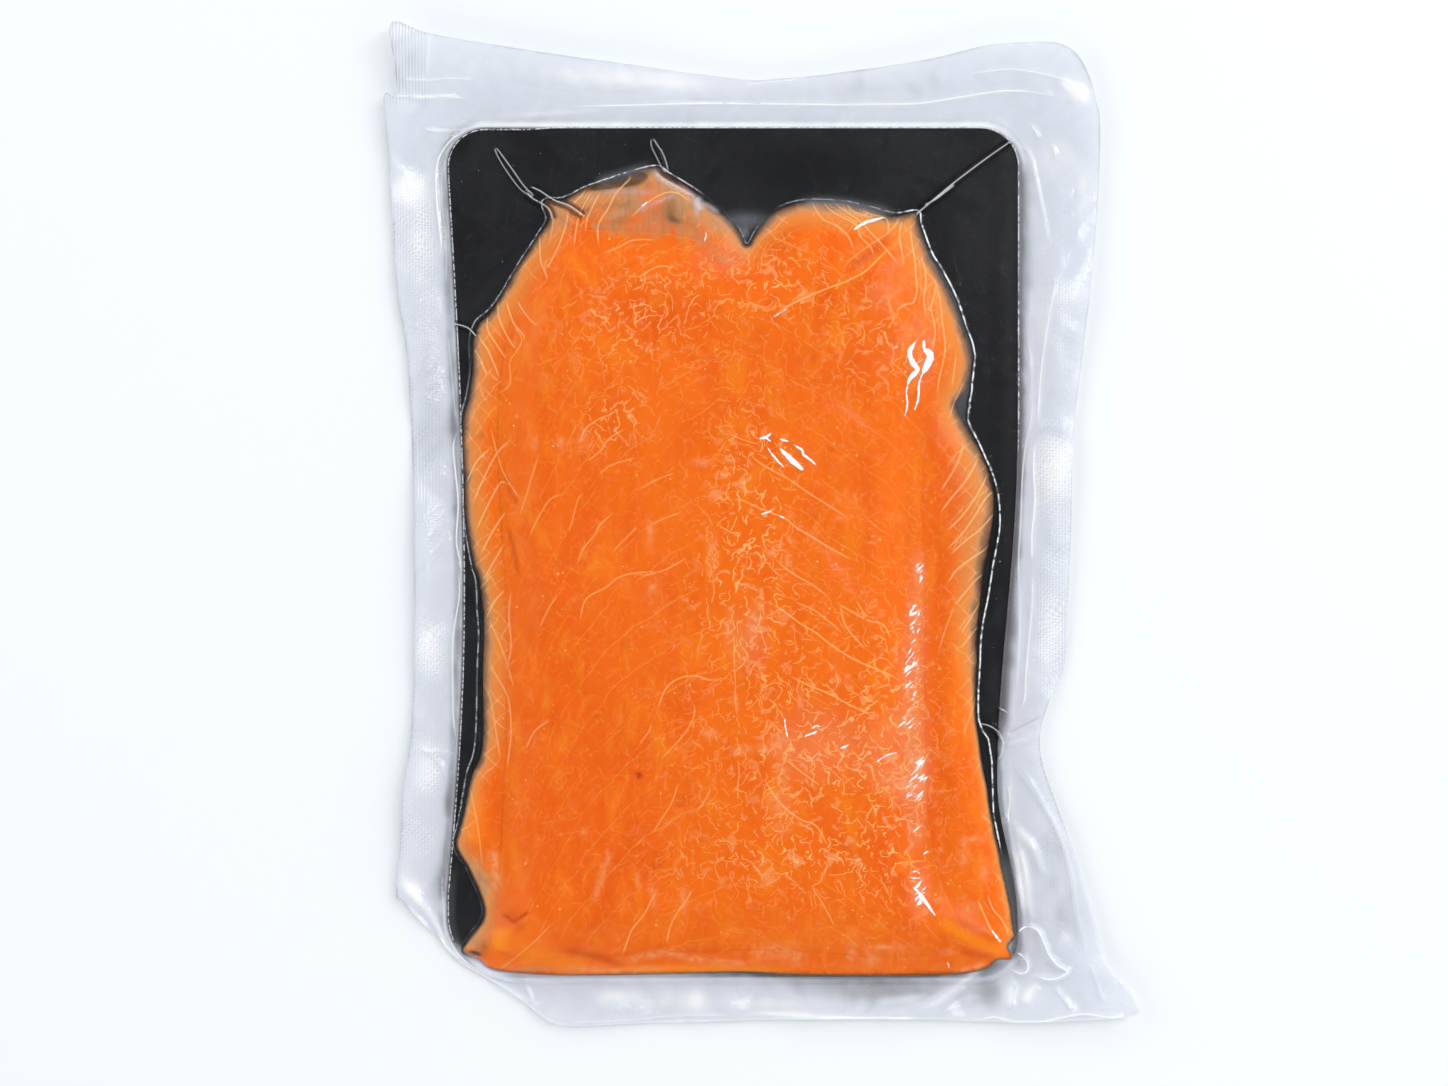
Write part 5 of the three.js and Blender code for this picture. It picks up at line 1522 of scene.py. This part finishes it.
boardFinish = {
    "card": (27, 28, 30), "sheen": (36, 37, 40), "paleStrand": (58, 60, 64), "dark": (16, 17, 18),
    "paleStrands": {"Density": 0.34, "Length": 2.6, "Width": 0.2, "Bend": 0.8, "Missing": 0.3},
}


def boardMaterial():
    material, tree = startMaterial("blackCard")
    place = placeInMm(tree)
    cloud = remap(noise(place, 0.05, 4, 0.6), 0.35, 0.7)
    colour = blend(cloud, linear(boardFinish["card"]), linear(boardFinish["sheen"]))
    # pale strands drawn over the card
    paleStrand = useGroup(tree, strands, {"Place": place, **boardFinish["paleStrands"]})
    colour = blend(paleStrand * 0.3, colour, linear(boardFinish["paleStrand"]))
    wetAndPaintedGleam = remap(noise(place, 0.035, 3, 0.5, 1.5), 0.5, 0.66) * 0.6
    wetAndPaintedGleam = reckon("MAXIMUM", wetAndPaintedGleam, attribute(tree, "wetAndPaintedGleam"), clamp=True)
    colour = blend(wetAndPaintedGleam, colour, linear(boardFinish["dark"]))
    relief = useGroup(tree, clingRelief, {"Place": place, "Lively": 0.6})
    fill(tree.nodes["Principled BSDF"], {
        "Base Color": colour, "Roughness": remap(cloud, 0.0, 1.0, 0.45, 0.65), "Specular IOR Level": 0.1,
        "Normal": bumped(relief, 0.3, 0.0003)})
    return material


cardBoard.data.materials.append(boardMaterial())

# milk is the film's own colour; grey paints greyer places, partly painted shade; white paints paler places
# and painted highlights; warm tints the painted gleams; dark and dusk paint shade.
filmColours = {"milk": (223, 227, 238), "grey": (142, 141, 146), "white": (253, 254, 255),
               "warm": (255, 218, 176), "dark": (12, 12, 14), "dusk": (88, 84, 86)}
# In the film finishes, lines are painted highlights drawn white along folds, creases, the board's rim and
# the contact line.
frontFinish = {"gloss": 0.05, "mirror": 0.004, "lively": 1.0, "bumpDepth": 0.0004,
               "lines": [("foldEdge", "foldShare", 0.27), ("creaseSide", "creaseShare", 0.42)],
               # painted highlight lines that break up: side, share, width, noise, its limits and the least
               # that stays
               "brokenLines": [("fromRim", "rimShare", 0.27, 1.1, 0.4, 0.56, 0.25),
                               ("fromContact", "contactShare", 0.32, 0.75, 0.38, 0.58, 0.3)]}
marginFinish = {"gloss": 0.12, "mirror": 0.02, "lively": 0.5, "bumpDepth": 0.0005,
                "lines": [("creaseSide", "creaseShare", 0.42)], "brokenLines": []}


# Painted highlights: gleams with ragged edges, a faint painted sheen, and slanting ripples of painted
# glitter.
def paintedGleams(tree, place):
    paintedSparkle = attribute(tree, "paintedSparkle")
    ragged = (noise(place, 0.9, 2) - 0.5) * 0.6
    paintedGleam = 1.0 - remap(attribute(tree, "paintedGlintEdge") + ragged, -0.14, 0.12)
    ripple = noise(mapped(mapped(place, turn=-0.75), (0.34, 1.5, 1)), 0.62, 3, 0.55, 0.8)
    paintedGlitter = remap(ripple - (0.86 - paintedSparkle * 0.36), 0.0, 0.07, 0.0, 0.85)
    return largest(paintedGlitter, paintedSparkle * 0.17, paintedGleam)


# Embossed dots set on the diagonal, and the ribs of a sealed seam.
def embossing(tree, place):
    across, up, _ = split(mapped(place, turn=0.785))
    drift = noise(place, 0.07, 2, 0.5) * 9.0
    waveAcross = reckon("SINE", (across + drift) * 5.6)
    waveUp = reckon("SINE", (up - drift) * 5.6)
    dots = waveAcross * (waveUp * 0.7 + 0.3) * attribute(tree, "emboss")
    ribs = reckon("SINE", split(place)[0] * 7.5) * attribute(tree, "ribs")
    return dots, ribs


def filmMaterial(name, finish):
    c = {label: linear(colour) for label, colour in filmColours.items()}
    material, tree = startMaterial(name)
    place = placeInMm(tree)
    tone = attribute(tree, "tone") + (noise(place, 0.16, 4, 0.6) - 0.5) * 0.35
    height = useGroup(tree, clingRelief, {"Place": place, "Lively": finish["lively"]})
    # Painted shade beside grey creases, and painted highlights: white lines along folds, creases, the
    # board's rim and the contact line.
    shade = drawnBeside(tree, "greySide", "greyShare", 0.4)
    drawn = [drawnBeside(tree, *line) for line in finish["lines"]]
    for side, share, width, size, low, high, least in finish["brokenLines"]:
        pieces = remap(noise(place, size, 1), low, high, least, 1.0)
        drawn.append(drawnBeside(tree, side, share, width) * pieces)
    white = largest(*drawn)
    # the front film also takes its painted gleams and the painted shade beside its folds and contact line
    if finish is frontFinish:
        wetAndPaintedGleam = paintedGleams(tree, place)
        white = largest(white, wetAndPaintedGleam)
        shade = largest(attribute(tree, "shade"), shade)
    else:
        dots, ribs = embossing(tree, place)
        height = height + dots * 0.22 + ribs * 0.12
        # the embossing is also painted paler and greyer, a painted shading of its relief
        tone = tone + dots * 0.36 + ribs * 0.2
    normal = bumped(height, 0.6, finish["bumpDepth"])
    milk = blend(remap(tone, 0.0, -1.0), c["milk"], c["grey"])
    milk = blend(remap(tone, 0.0, 1.0), milk, c["white"])
    dusk = attribute(tree, "dusk")
    milk = blend(dusk * 0.92, milk, c["dusk"])
    # the painted gleams are tinted warm where they fade out
    if finish is frontFinish:
        milk = blend(remap(wetAndPaintedGleam, 0.0, 0.1), milk, c["warm"])
    haze = reckon("MULTIPLY", attribute(tree, "cover"), tone * 0.25 + 1.0, clamp=True)
    pale = largest(haze, dusk * 0.94, white)
    cover = pale + shade * (1.0 - pale)
    colour = blend(remap(white, 0.1, 0.9), milk, c["white"])
    colour = blend(pale / largest(cover, 0.001), c["dark"], colour)
    shader = tree.nodes["Principled BSDF"]
    fill(shader, {"Base Color": colour, "Normal": normal, "Roughness": 0.4, "Specular IOR Level": 0.1})
    clear = add(tree, "BsdfTransparent", {"Color": (1, 1, 1, 1)})
    body = add(tree, "MixShader", {0: cover, 1: clear, 2: Value(shader.outputs["BSDF"])})
    mirror = add(tree, "BsdfAnisotropic", {"Color": (1, 1, 1, 1), "Roughness": finish["gloss"],
                                           "Normal": normal})
    # the same from above and below, as a thin film mirrors more at a grazing look
    grazing = add(tree, "LayerWeight", {"Blend": 0.5, "Normal": normal}, "Facing")
    mirrored = reckon("ADD", reckon("POWER", grazing, 5.0) * 0.6, finish["mirror"], clamp=True)
    fill(tree.nodes["Material Output"], {
        "Surface": add(tree, "MixShader", {0: mirrored, 1: body, 2: mirror})})
    return material


frontFilm.data.materials.append(filmMaterial("frontFilm", frontFinish))
marginFilm.data.materials.append(filmMaterial("marginFilm", marginFinish))
print("film materials made")

side = studio["floorHalf"]
floorMesh = bpy.data.meshes.new("floor")
floorMesh.from_pydata([(-side, -side, 0), (side, -side, 0), (side, side, 0), (-side, side, 0)], [],
                      [(0, 1, 2, 3)])
floor = bpy.data.objects.new("floor", floorMesh)
scene.collection.objects.link(floor)
floorMaterial, floorTree = startMaterial("paleFloor")
fill(floorTree.nodes["Principled BSDF"], {"Base Color": linear(studio["floor"]), "Roughness": 0.9,
                                          "Specular IOR Level": 0.0})
floorMesh.materials.append(floorMaterial)

for piece, node, slot in [
    (frontFilm, "pouch_front", "front_film"), (marginFilm, "pouch_back", "margin_film"),
    (cardBoard, "board", "board_card"), (lowerSlice, "salmon_lower_slices", "salmon_edge"),
    (upperSlice, "salmon_upper_slice", "salmon_flesh"),
]:
    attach(piece, "root")
    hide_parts(node)

print("scene ready")
